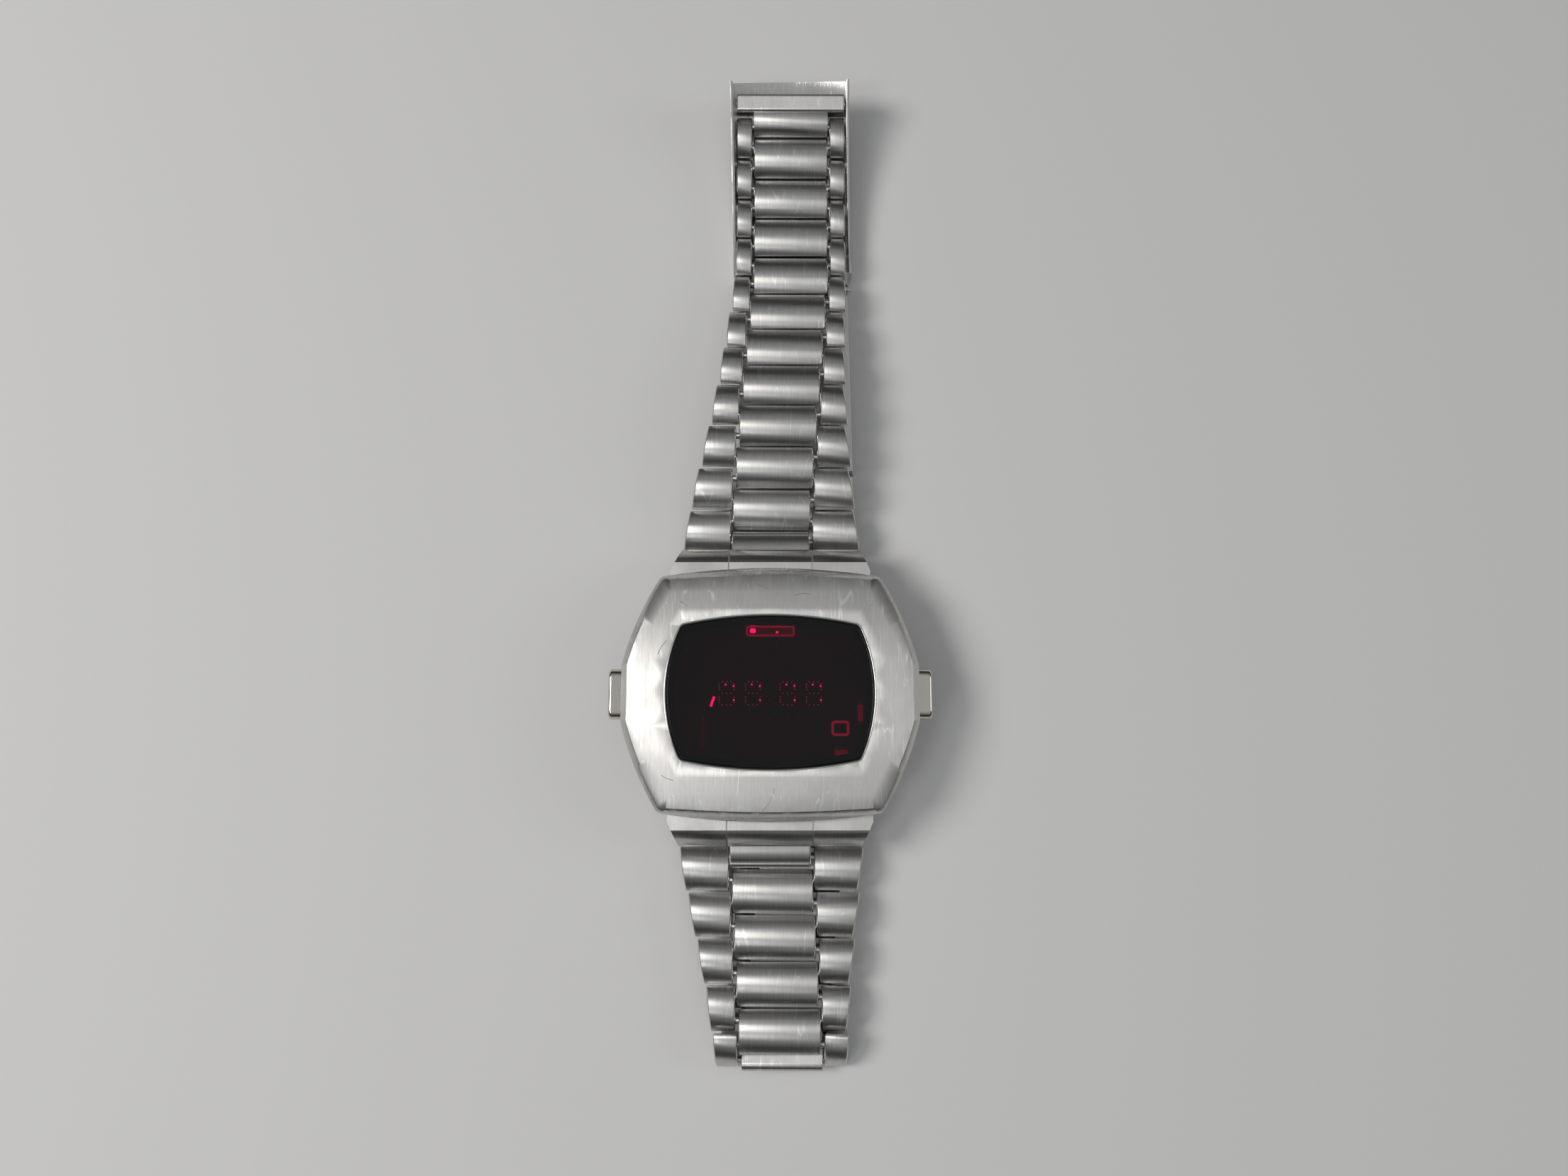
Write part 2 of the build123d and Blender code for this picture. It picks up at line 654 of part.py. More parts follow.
def cover_strip(low, high):
    """The cover's side view between two heights above its underside."""
    with BuildSketch() as strip:
        with BuildLine():
            Line((cover_hinge_y, low), (cover_arc_start, low))
            ThreePointArc(cover_curve(low, 0), cover_curve(low, cover_end_turn / 2),
                          cover_curve(low, cover_end_turn))
            Line(cover_curve(low, cover_end_turn), cover_curve(high, cover_end_turn))
            ThreePointArc(cover_curve(high, cover_end_turn), cover_curve(high, cover_end_turn / 2),
                          cover_curve(high, 0))
            Line((cover_arc_start, high), (cover_hinge_y, high))
            Line((cover_hinge_y, high), (cover_hinge_y, low))
        make_face()
    return strip.sketch


hole_turn = atan2(tee_run, cover_radius - tee_middle[1])
cover_side = cover_strip(0, cover_wall)
cover_room = cover_strip(cover_sheet, cover_wall + overrun)
with BuildPart() as cover_wall_holes:
    for place in range(cover_holes):
        along, z = cover_curve(tee_lift, hole_turn - place * cover_hole_pitch / cover_radius)
        with BuildSketch(clasp_side(-cover_half_width - overrun, along, z)):
            Circle(cover_hole_radius)
        extrude(amount=2 * (cover_half_width + overrun))
with BuildPart() as cover:
    with BuildSketch(clasp_side(-cover_half_width, 0, 0)):
        add(cover_side)
    extrude(amount=2 * cover_half_width)
    with BuildSketch(clasp_side(-cover_inner, 0, 0)):
        add(cover_room)
    extrude(amount=2 * cover_inner, mode=Mode.SUBTRACT)
    # the walls stop short of the hinge, and the floor is cut back for the knuckles
    with BuildSketch(clasp_side(-cover_half_width - overrun, cover_hinge_y, cover_sheet)):
        with Locations((0, cover_wall)):
            Rectangle(cover_flat, 2 * cover_wall)
    extrude(amount=2 * (cover_half_width + overrun), mode=Mode.SUBTRACT)
    add(cover_inner_rooms, mode=Mode.SUBTRACT)
    add(cover_outer)
    add(cover_held_hole, mode=Mode.SUBTRACT)
    add(cover_wall_holes.part, mode=Mode.SUBTRACT)
save(group(cover.part, cover_pin), "clasp_cover")


# Case
def case_outline(grow=0.0):
    """The case's plan, larger all round by an amount: bowed ends, slanted sides, round corners."""
    half_width, half_length, half_flat = case_width / 2 + grow, case_length / 2 + grow, case_side_flat / 2
    corner_x, corner_y = case_corner_x + grow, case_corner_y + grow
    mid_x = (half_width + corner_x) / 2 + case_side_bow
    mid_y = (half_flat + corner_y) / 2 + case_side_bow / 2
    with BuildSketch() as plan:
        with BuildLine():
            for side in (-1, 1):
                ThreePointArc((-corner_x, side * corner_y), (0, side * half_length),
                              (corner_x, side * corner_y))
                Line((side * half_width, -half_flat), (side * half_width, half_flat))
                for end in (-1, 1):
                    ThreePointArc((side * half_width, end * half_flat), (side * mid_x, end * mid_y),
                                  (side * corner_x, end * corner_y))
        make_face()
        corners = plan.vertices().group_by(Axis.Y)
        fillet(corners[0] + corners[-1], radius=case_corner_radius)
    return plan.sketch


def crystal_outline(grow=0.0):
    """The crystal's plan, larger all round by an amount."""
    half_width, half_length = crystal_width / 2 + grow, crystal_length / 2 + grow
    corner_x = crystal_corner_x + grow * corner_across_share
    corner_y = crystal_corner_y + grow * corner_along_share
    with BuildSketch() as plan:
        with BuildLine():
            for side in (-1, 1):
                ThreePointArc((-corner_x, side * corner_y), (0, side * half_length), (corner_x, side * corner_y))
                ThreePointArc((side * corner_x, -corner_y), (side * half_width, 0), (side * corner_x, corner_y))
        make_face()
        corners = plan.vertices().group_by(Axis.Y)
        fillet(corners[0] + corners[-1], radius=crystal_corner_radius)
    return plan.sketch


flank_depth = widest_z - shell_bottom_z
opening_grow = gasket_thickness
flank_inset = flank_depth * tan(radians(flank_angle))
bevel_inset = (dome_top_z - widest_z) * tan(radians(bevel_angle))
case_plan = case_outline()
foot_plan = case_outline(-flank_inset)
top_plan = case_outline(-bevel_inset)
crystal_plan = crystal_outline()
opening_plan = crystal_outline(opening_grow)
ledge_plan = crystal_outline(-crystal_ledge)

with BuildPart() as case_shell:
    with BuildSketch(Plane.XY.offset(shell_bottom_z)):
        add(foot_plan)
    with BuildSketch(Plane.XY.offset(widest_z)):
        add(case_plan)
    loft(ruled=True)
    with BuildSketch(Plane.XY.offset(widest_z)):
        add(case_plan)
    with BuildSketch(Plane.XY.offset(dome_top_z)):
        add(top_plan)
    loft(ruled=True)
    for side in (-1, 1):
        with BuildSketch(Plane(origin=(side * cavity_width / 2, 0, 0), x_dir=(0, 1, 0), z_dir=(1, 0, 0))):
            with Locations((0, button_z)):
                RectangleRounded(button_length + 2 * boss_margin, button_height + 2 * boss_margin, boss_margin)
        extrude(amount=side * (boss_face_x - cavity_width / 2))
    for side in (-1, 1):
        for end in (-1, 1):
            with Locations((side * (lug_inner_x + lug_width / 2), end * (cavity_length / 2 + lug_outer_y) / 2,
                            (lug_bottom_z + lug_top_z) / 2)):
                Box(lug_width, lug_outer_y - cavity_length / 2, lug_top_z - lug_bottom_z)
    with Locations((0, 0, dome_top_z - dome_radius)):
        Sphere(dome_radius, rotation=dome_lie, mode=Mode.INTERSECT)
    with BuildSketch(Plane.XY.offset(shell_bottom_z - overrun)):
        RectangleRounded(cavity_width, cavity_length, cavity_corner)
    extrude(amount=cavity_top_z - shell_bottom_z + overrun, mode=Mode.SUBTRACT)
    with BuildSketch(Plane.XY.offset(crystal_seat_z)):
        add(opening_plan)
    extrude(amount=dome_top_z - crystal_seat_z + overrun, mode=Mode.SUBTRACT)
    with BuildSketch(Plane.XY.offset(cavity_top_z - overrun)):
        add(ledge_plan)
    extrude(amount=crystal_seat_z - cavity_top_z + 2 * overrun, mode=Mode.SUBTRACT)
    for side in (-1, 1):
        wall_plane = Plane(origin=(side * pocket_floor_x, 0, button_z), x_dir=(0, 1, 0), z_dir=(side, 0, 0))
        with BuildSketch(wall_plane):
            SlotOverall(button_length + 2 * slide_fit, button_height + 2 * slide_fit)
        extrude(amount=boss_face_x - pocket_floor_x + overrun, mode=Mode.SUBTRACT)
        with BuildSketch(wall_plane):
            Circle(stem_bore)
        extrude(amount=-(pocket_floor_x - cavity_width / 2 + overrun), mode=Mode.SUBTRACT)
    for end in (-1, 1):
        with BuildSketch(Plane(origin=(-case_width / 2, end * end_bar_y, end_bar_z), x_dir=(0, 1, 0),
                               z_dir=(1, 0, 0))):
            Circle(end_bar_tip_radius + fit)
        extrude(amount=case_width, mode=Mode.SUBTRACT)
save(case_shell, "case_shell")

# What an end piece may not touch: the case's tapered flank, a little larger
grown_plan = case_outline(slide_fit)
grown_foot_plan = case_outline(slide_fit - flank_inset)
with BuildPart() as flank_envelope:
    with BuildSketch(Plane.XY.offset(shell_bottom_z)):
        add(grown_foot_plan)
    with BuildSketch(Plane.XY.offset(widest_z)):
        add(grown_plan)
    loft(ruled=True)

with BuildPart() as crystal:
    with BuildSketch(Plane.XY.offset(crystal_seat_z)):
        add(crystal_plan)
    extrude(amount=dome_top_z - crystal_seat_z + overrun)
    with Locations((0, 0, dome_top_z - dome_radius)):
        Sphere(dome_radius + crystal_proud, rotation=dome_lie, mode=Mode.INTERSECT)
    chamfer(crystal.faces().sort_by(Axis.Z)[-1].edges(), length=crystal_bevel)
save(crystal, "crystal")

with BuildPart() as crystal_gasket:
    with BuildSketch(Plane.XY.offset(crystal_seat_z)):
        add(opening_plan)
    extrude(amount=dome_top_z - crystal_seat_z)
    with BuildSketch(Plane.XY.offset(crystal_seat_z - overrun)):
        add(crystal_plan)
    extrude(amount=dome_top_z - crystal_seat_z + 2 * overrun, mode=Mode.SUBTRACT)
    with Locations((0, 0, dome_top_z - dome_radius)):
        Sphere(dome_radius - gasket_recess, rotation=dome_lie, mode=Mode.INTERSECT)
save(crystal_gasket, "crystal_gasket")

# Case back: a dished plate with a spigot that snaps into the shell
with BuildPart() as case_back:
    with BuildSketch(Plane.XY.offset(back_bottom_z)):
        RectangleRounded(back_width, back_length, back_corner)
    extrude(amount=back_thickness)
    chamfer(case_back.faces().sort_by(Axis.Z)[0].edges(), length=back_edge)
    with BuildSketch(Plane.XY.offset(back_top_z)):
        RectangleRounded(cavity_width - 2 * slide_fit, cavity_length - 2 * slide_fit, cavity_corner - slide_fit)
        offset(amount=-spigot_wall, mode=Mode.SUBTRACT)
    extrude(amount=spigot_height)
save(case_back, "case_back")

with BuildPart() as back_gasket:
    with BuildSketch(Plane.XY.offset(back_top_z + spigot_height)):
        RectangleRounded(cavity_width - 2 * slide_fit, cavity_length - 2 * slide_fit, cavity_corner - slide_fit)
        offset(amount=-spigot_wall, mode=Mode.SUBTRACT)
    extrude(amount=back_gasket_height)
save(back_gasket, "back_gasket")

# Movement
cell_places = [(side * cell_spacing / 2, 0) for side in (-1, 1)]
with BuildPart() as module_frame:
    with BuildSketch(Plane.XY.offset(frame_bottom_z)):
        RectangleRounded(frame_width, frame_length, cavity_corner - frame_margin)
        with Locations(*cell_places):
            Circle(cell_radius + slide_fit, mode=Mode.SUBTRACT)
    extrude(amount=frame_top_z - frame_bottom_z)
save(module_frame, "module_frame")

with BuildPart() as button_cells:
    for place in cell_places:
        with BuildSketch(Plane.XY.offset(cell_bottom_z + cell_cap_height)):
            with Locations(place):
                Circle(cell_radius)
        extrude(amount=cell_height - cell_cap_height)
        with BuildSketch(Plane.XY.offset(cell_bottom_z)):
            with Locations(place):
                Circle(cell_radius * cell_cap_share)
        extrude(amount=cell_cap_height)
save(button_cells, "button_cells")

with BuildPart() as battery_contact:
    contact_top = cell_bottom_z - board_gap
    half = cell_spacing / 2 + contact_width / 2
    with BuildSketch(Plane(origin=(0, -contact_width / 2, 0), x_dir=(1, 0, 0), z_dir=(0, -1, 0))):
        with BuildLine():
            Polyline((-half, contact_top), (-half + contact_width, contact_top),
                     (-contact_width / 2, contact_top - contact_rise),
                     (contact_width / 2, contact_top - contact_rise),
                     (half - contact_width, contact_top), (half, contact_top),
                     (half, contact_top - contact_thickness), (half - contact_width, contact_top - contact_thickness),
                     (contact_width / 2, contact_top - contact_rise - contact_thickness),
                     (-contact_width / 2, contact_top - contact_rise - contact_thickness),
                     (-half + contact_width, contact_top - contact_thickness),
                     (-half, contact_top - contact_thickness), close=True)
        make_face()
    extrude(amount=-contact_width)
save(battery_contact, "battery_contact")

with BuildPart() as circuit_board:
    with BuildSketch(Plane.XY.offset(board_z)):
        RectangleRounded(board_width, board_length, cavity_corner - frame_margin)
    extrude(amount=board_thickness)
save(circuit_board, "circuit_board")


def digit_segments():
    """The seven bars of one digit, which stand clear of each other."""
    across = digit_width - segment_width
    bar = digit_width - 3 * segment_width
    post = digit_height / 2 - 2 * segment_width
    with BuildSketch() as digit:
        with Locations((0, digit_height / 2 - segment_width / 2), (0, 0), (0, segment_width / 2 - digit_height / 2)):
            Rectangle(bar, segment_width)
        for x in (-across / 2, across / 2):
            with Locations((x, digit_height / 4), (x, -digit_height / 4)):
                Rectangle(segment_width, post)
    return digit.sketch


digit = digit_segments()
with BuildPart() as led_display:
    with BuildSketch(Plane.XY.offset(board_top)):
        Rectangle(display_width, display_length)
    extrude(amount=display_base)
    with BuildSketch(Plane.XY.offset(board_top + display_base)):
        for place in range(digit_count):
            step = place - (digit_count - 1) / 2
            x = step * digit_pitch + (colon_gap / 2 if step > 0 else -colon_gap / 2)
            with Locations((x, 0)):
                add(digit)
        with Locations((0, digit_height / 4), (0, -digit_height / 4)):
            Rectangle(colon_dot, colon_dot)
    extrude(amount=segment_height)
save(led_display, "led_display")

with BuildPart() as light_sensor:
    with BuildSketch(Plane.XY.offset(board_top)):
        with Locations((0, sensor_y)):
            RectangleRounded(sensor_width, sensor_length, sensor_length / 4)
    extrude(amount=sensor_height)
save(light_sensor, "light_sensor")

with BuildPart() as controller_chip:
    with Locations((chip_x, chip_y, board_top + chip_lead_height + chip_height / 2)):
        Box(chip_width, chip_length, chip_height)
    lead_pitch = chip_width / chip_leads
    for index in range(chip_leads):
        x = chip_x + (index - (chip_leads - 1) / 2) * lead_pitch
        with Locations((x, chip_y, board_top + chip_lead_height / 2)):
            Box(chip_lead_width, chip_length + 2 * chip_lead_reach, chip_lead_height)
save(controller_chip, "controller_chip")

with BuildPart() as quartz_crystal:
    with BuildSketch(Plane(origin=(quartz_x, quartz_y - quartz_length / 2, board_top + quartz_radius),
                           x_dir=(1, 0, 0), z_dir=(0, 1, 0))):
        Circle(quartz_radius)
    extrude(amount=quartz_length)
    fillet(quartz_crystal.edges(), radius=quartz_radius / 4)
save(quartz_crystal, "quartz_crystal")

with BuildPart() as trimmer:
    with BuildSketch(Plane.XY.offset(board_top)):
        with Locations((trimmer_x, trimmer_y)):
            RectangleRounded(trimmer_side, trimmer_side, trimmer_side / 5)
    extrude(amount=trimmer_height)
    with Locations((trimmer_x, trimmer_y, board_top + trimmer_height)):
        Box(trimmer_side / 2, trimmer_slot_width, trimmer_height / 2, mode=Mode.SUBTRACT)
save(trimmer, "trimmer_capacitor")

# End pieces, one at each end of the case, with the spring bars that hold them on its lugs


def end_piece(end):
    """The hood at one end of the case: +1 is 12 o'clock and -1 is 6 o'clock."""
    side_view = Plane(origin=(-end * case_width / 2, 0, 0), x_dir=(0, end, 0), z_dir=(end, 0, 0))
    nose_view = side_view.offset(case_width / 2 - centre_half_width)
    bar_view = side_view.offset(case_width / 2 - end_bar_half_length - overrun)
    far_y = first_pin_y + stub
    nose_low = first_pin_z - half_thickness
    nose_end_z = nose_top_z - nose_fall
    round_in = nose_round * (1 - sqrt(0.5))
    hood_angle = degrees(atan2(end_band_z - end_outer_z, end_outer_y - end_band_y))
    with BuildPart() as nose:
        with BuildSketch(nose_view):
            with BuildLine():
                Line((end_bar_y, end_bottom_z), (end_bar_y, nose_top_z))
                Line((end_bar_y, nose_top_z), (end_outer_y, nose_top_z))
                ThreePointArc((end_outer_y, nose_top_z),
                              ((end_outer_y + far_y - nose_round) / 2, nose_top_z - nose_fall / 4),
                              (far_y - nose_round, nose_end_z))
                ThreePointArc((far_y - nose_round, nose_end_z), (far_y - round_in, nose_end_z - round_in),
                              (far_y, nose_end_z - nose_round))
                Polyline((far_y, nose_end_z - nose_round), (far_y, first_pin_z - heel_radius / 2),
                         (far_y - heel_radius, nose_low), (end_outer_y, nose_low), (end_outer_y, end_bottom_z),
                         (end_bar_y, end_bottom_z))
            make_face()
        extrude(amount=2 * centre_half_width)
        for place in (0, -1):
            rims = nose.faces().sort_by(Axis.X)[place].edges()
            fillet([rim for rim in rims if rim.center().Z > first_pin_z and abs(rim.center().Y) > end_bar_y + slide_fit],
                   radius=nose_edge)
    with BuildPart() as piece:
        with BuildSketch(side_view):
            with BuildLine():
                ThreePointArc((end_band_y, end_band_z),
                              ((end_band_y + end_outer_y) / 2 + end_crown, (end_band_z + end_outer_z) / 2 + end_crown),
                              (end_outer_y, end_outer_z))
                Polyline((end_outer_y, end_outer_z), (end_outer_y, end_bottom_z), (cavity_length / 2, end_bottom_z),
                         (cavity_length / 2, end_band_z), (end_band_y, end_band_z))
            make_face()
        extrude(amount=case_width)
        with BuildSketch(Plane.XY):
            with BuildLine():
                Polyline((-end_outer_half_width, end * end_outer_y), (end_outer_half_width, end * end_outer_y),
                         (end_half_width, end * case_length / 2), (end_half_width, 0), (-end_half_width, 0),
                         (-end_half_width, end * case_length / 2), close=True)
            make_face()
        extrude(amount=dome_top_z, mode=Mode.INTERSECT)
        # grooves that part the hood into three, as the links are
        for side in (-1, 1):
            groove_x = side * (centre_half_width + side_clearance)
            with Locations((groove_x, end * ((end_outer_y + end_band_y) / 2 + end_crown),
                            (end_outer_z + end_band_z) / 2 + end_crown)):
                Box(end_groove, end_outer_y - end_band_y + overrun, 2 * end_groove_depth,
                    rotation=(-end * hood_angle, 0, 0), mode=Mode.SUBTRACT)
            with Locations((groove_x, end * (case_length / 2 + end_band_y) / 2, end_band_z)):
                Box(end_groove, end_band_y - case_length / 2 + overrun, end_groove_depth, mode=Mode.SUBTRACT)
        add(nose.part)
        with BuildSketch(nose_view.offset(-overrun)):
            with Locations((first_pin_y, first_pin_z)):
                Circle(pin_radius + fit)
        extrude(amount=2 * (centre_half_width + overrun), mode=Mode.SUBTRACT)
        with BuildSketch(bar_view):
            with Locations((end_bar_y, end_bar_z)):
                Circle(end_bar_radius + fit)
        extrude(amount=2 * (end_bar_half_length + overrun), mode=Mode.SUBTRACT)
        lug_room_top = lug_top_z + lug_clearance
        for side in (-1, 1):
            with Locations((side * (lug_inner_x + lug_width / 2), end * lug_outer_y / 2, lug_room_top / 2)):
                Box(lug_width + 2 * lug_clearance, lug_outer_y + 2 * lug_clearance, lug_room_top,
                    mode=Mode.SUBTRACT)
        add(flank_envelope.part, mode=Mode.SUBTRACT)
    with BuildPart() as bar:
        with BuildSketch(side_view.offset(case_width / 2 - end_bar_half_length)):
            with Locations((end_bar_y, end_bar_z)):
                Circle(end_bar_radius)
        extrude(amount=2 * end_bar_half_length)
        with BuildSketch(side_view.offset(case_width / 2 - end_bar_half_length - end_bar_tip)):
            with Locations((end_bar_y, end_bar_z)):
                Circle(end_bar_tip_radius)
        extrude(amount=2 * (end_bar_half_length + end_bar_tip))
    return group(piece.part, bar.part)


save(end_piece(1), "upper_end_piece")
save(end_piece(-1), "lower_end_piece")


# Buttons, their seals and their return springs
def button(side):
    """A side button: +1 is the right one. Its rubber seal rides in a groove of its stem."""
    cap_inner_x = button_face_x - button_cap_depth
    seal_middle = stem_bore - slide_fit / 4 - seal_wire
    with BuildPart() as cap:
        with BuildSketch(Plane(origin=(side * cap_inner_x, 0, button_z), x_dir=(0, 1, 0), z_dir=(side, 0, 0))):
            SlotOverall(button_length, button_height)
        extrude(amount=button_cap_depth)
        fillet(cap.faces().sort_by(Axis.X)[-1 if side > 0 else 0].edges(), radius=button_edge)
        with BuildSketch(Plane(origin=(side * stem_inner_x, 0, button_z), x_dir=(0, 1, 0), z_dir=(side, 0, 0))):
            Circle(stem_radius)
        extrude(amount=cap_inner_x - stem_inner_x)
        with BuildSketch(Plane(origin=(side * (seal_x - seal_wire - slide_fit / 2), 0, button_z), x_dir=(0, 1, 0),
                               z_dir=(side, 0, 0))):
            Circle(stem_radius + overrun)
            Circle(stem_radius - seal_groove, mode=Mode.SUBTRACT)
        extrude(amount=2 * seal_wire + slide_fit, mode=Mode.SUBTRACT)
    with BuildPart() as seal:
        with BuildSketch(Plane.XZ):
            with Locations((side * seal_x, button_z + seal_middle)):
                Circle(seal_wire)
        revolve(axis=Axis((0, 0, button_z), (1, 0, 0)))
    return group(cap.part, seal.part)


def button_spring(side):
    """The coil around a button's stem, between the pocket's floor and the cap."""
    room = button_face_x - button_cap_depth - pocket_floor_x
    length = room - button_spring_wire - slide_fit
    start_x = pocket_floor_x + (room - length) / 2
    with BuildPart() as coil:
        with BuildLine() as path:
            Helix(pitch=length / button_spring_turns, height=length, radius=button_spring_radius,
                  center=(side * start_x, 0, button_z), direction=(side, 0, 0))
        with BuildSketch(Plane(origin=path.line @ 0, z_dir=path.line % 0)):
            Circle(button_spring_wire / 2)
        sweep(path=path.line, is_frenet=True)
    return coil


for side, name in ((-1, "left"), (1, "right")):
    save(button(side), f"{name}_button")
    save(button_spring(side), f"{name}_button_spring")
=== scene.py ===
"""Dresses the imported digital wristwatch: camera, light, metal finishes and fine detail.

Everything is in metres in the row's frame: +X is 3 o'clock, +Y is 12 o'clock, +Z is up, and the
ground is at z = 0. The watch lies open on its back, as in the photograph.
"""
from __future__ import annotations

import json
import logging
import math
from dataclasses import dataclass, field
from enum import Enum
from typing import Iterable, Sequence

import bmesh
import bpy
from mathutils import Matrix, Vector

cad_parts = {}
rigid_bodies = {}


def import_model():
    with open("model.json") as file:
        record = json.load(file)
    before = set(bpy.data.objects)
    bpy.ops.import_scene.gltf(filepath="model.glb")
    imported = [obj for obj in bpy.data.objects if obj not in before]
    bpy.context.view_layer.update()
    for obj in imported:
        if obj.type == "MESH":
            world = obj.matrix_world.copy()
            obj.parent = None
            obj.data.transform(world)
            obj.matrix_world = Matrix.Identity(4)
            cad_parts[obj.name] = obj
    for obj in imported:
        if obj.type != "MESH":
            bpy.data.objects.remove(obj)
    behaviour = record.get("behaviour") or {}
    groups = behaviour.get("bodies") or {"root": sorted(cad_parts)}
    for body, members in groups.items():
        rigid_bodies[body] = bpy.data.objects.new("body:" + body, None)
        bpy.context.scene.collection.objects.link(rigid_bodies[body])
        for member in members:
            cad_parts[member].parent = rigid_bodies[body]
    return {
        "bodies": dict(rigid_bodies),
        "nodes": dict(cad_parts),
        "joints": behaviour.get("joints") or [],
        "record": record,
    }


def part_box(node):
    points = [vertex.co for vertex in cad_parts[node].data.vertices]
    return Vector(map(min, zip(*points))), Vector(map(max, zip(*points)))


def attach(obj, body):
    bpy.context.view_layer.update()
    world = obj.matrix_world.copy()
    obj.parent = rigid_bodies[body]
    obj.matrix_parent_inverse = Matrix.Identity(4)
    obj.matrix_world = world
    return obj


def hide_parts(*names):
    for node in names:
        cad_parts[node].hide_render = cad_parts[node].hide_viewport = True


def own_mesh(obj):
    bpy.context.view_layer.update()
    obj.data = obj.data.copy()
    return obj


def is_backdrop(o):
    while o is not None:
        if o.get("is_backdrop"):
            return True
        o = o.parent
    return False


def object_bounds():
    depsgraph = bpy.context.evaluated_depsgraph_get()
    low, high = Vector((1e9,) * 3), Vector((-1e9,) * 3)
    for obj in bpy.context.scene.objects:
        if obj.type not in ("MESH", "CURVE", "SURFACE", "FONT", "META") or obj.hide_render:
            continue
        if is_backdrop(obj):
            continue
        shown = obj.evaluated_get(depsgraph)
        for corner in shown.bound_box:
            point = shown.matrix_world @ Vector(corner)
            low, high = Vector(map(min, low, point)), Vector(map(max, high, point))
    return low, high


LOG = logging.getLogger("watch")
MM = 0.001

UP = Vector((0.0, 0.0, 1.0))
OFF_AXIS = Vector((0.31, 0.17, 0.93))  # along no wire of the watch
SUNK = 0.01 * MM  # how far an added piece reaches into what it sits on
TRACK_SUNK = 0.004 * MM
WELD = 0.002 * MM
SHARP_ANGLE = math.radians(35)
EDGE_ANGLE = math.radians(38)
MIDDLE_RANGE = (0.3, 0.7)  # where most values of a noise lie

Colour = tuple[float, float, float, float]
Spot = tuple[float, float]
Socket = bpy.types.NodeSocket
Mesh = bmesh.types.BMesh
Ring = list[bmesh.types.BMVert]


class Polish(Enum):
    """Which faces of a steel piece are polished."""

    NONE = "no face"
    SIDES = "the faces that look to 3 and 9 o'clock"
    SLOPES = "the faces that lean away from straight up"
    ALL = "every face"


def hue(red: float, green: float, blue: float) -> Colour:
    """Gives a colour its alpha."""
    return (red, green, blue, 1.0)


# Shader nodes


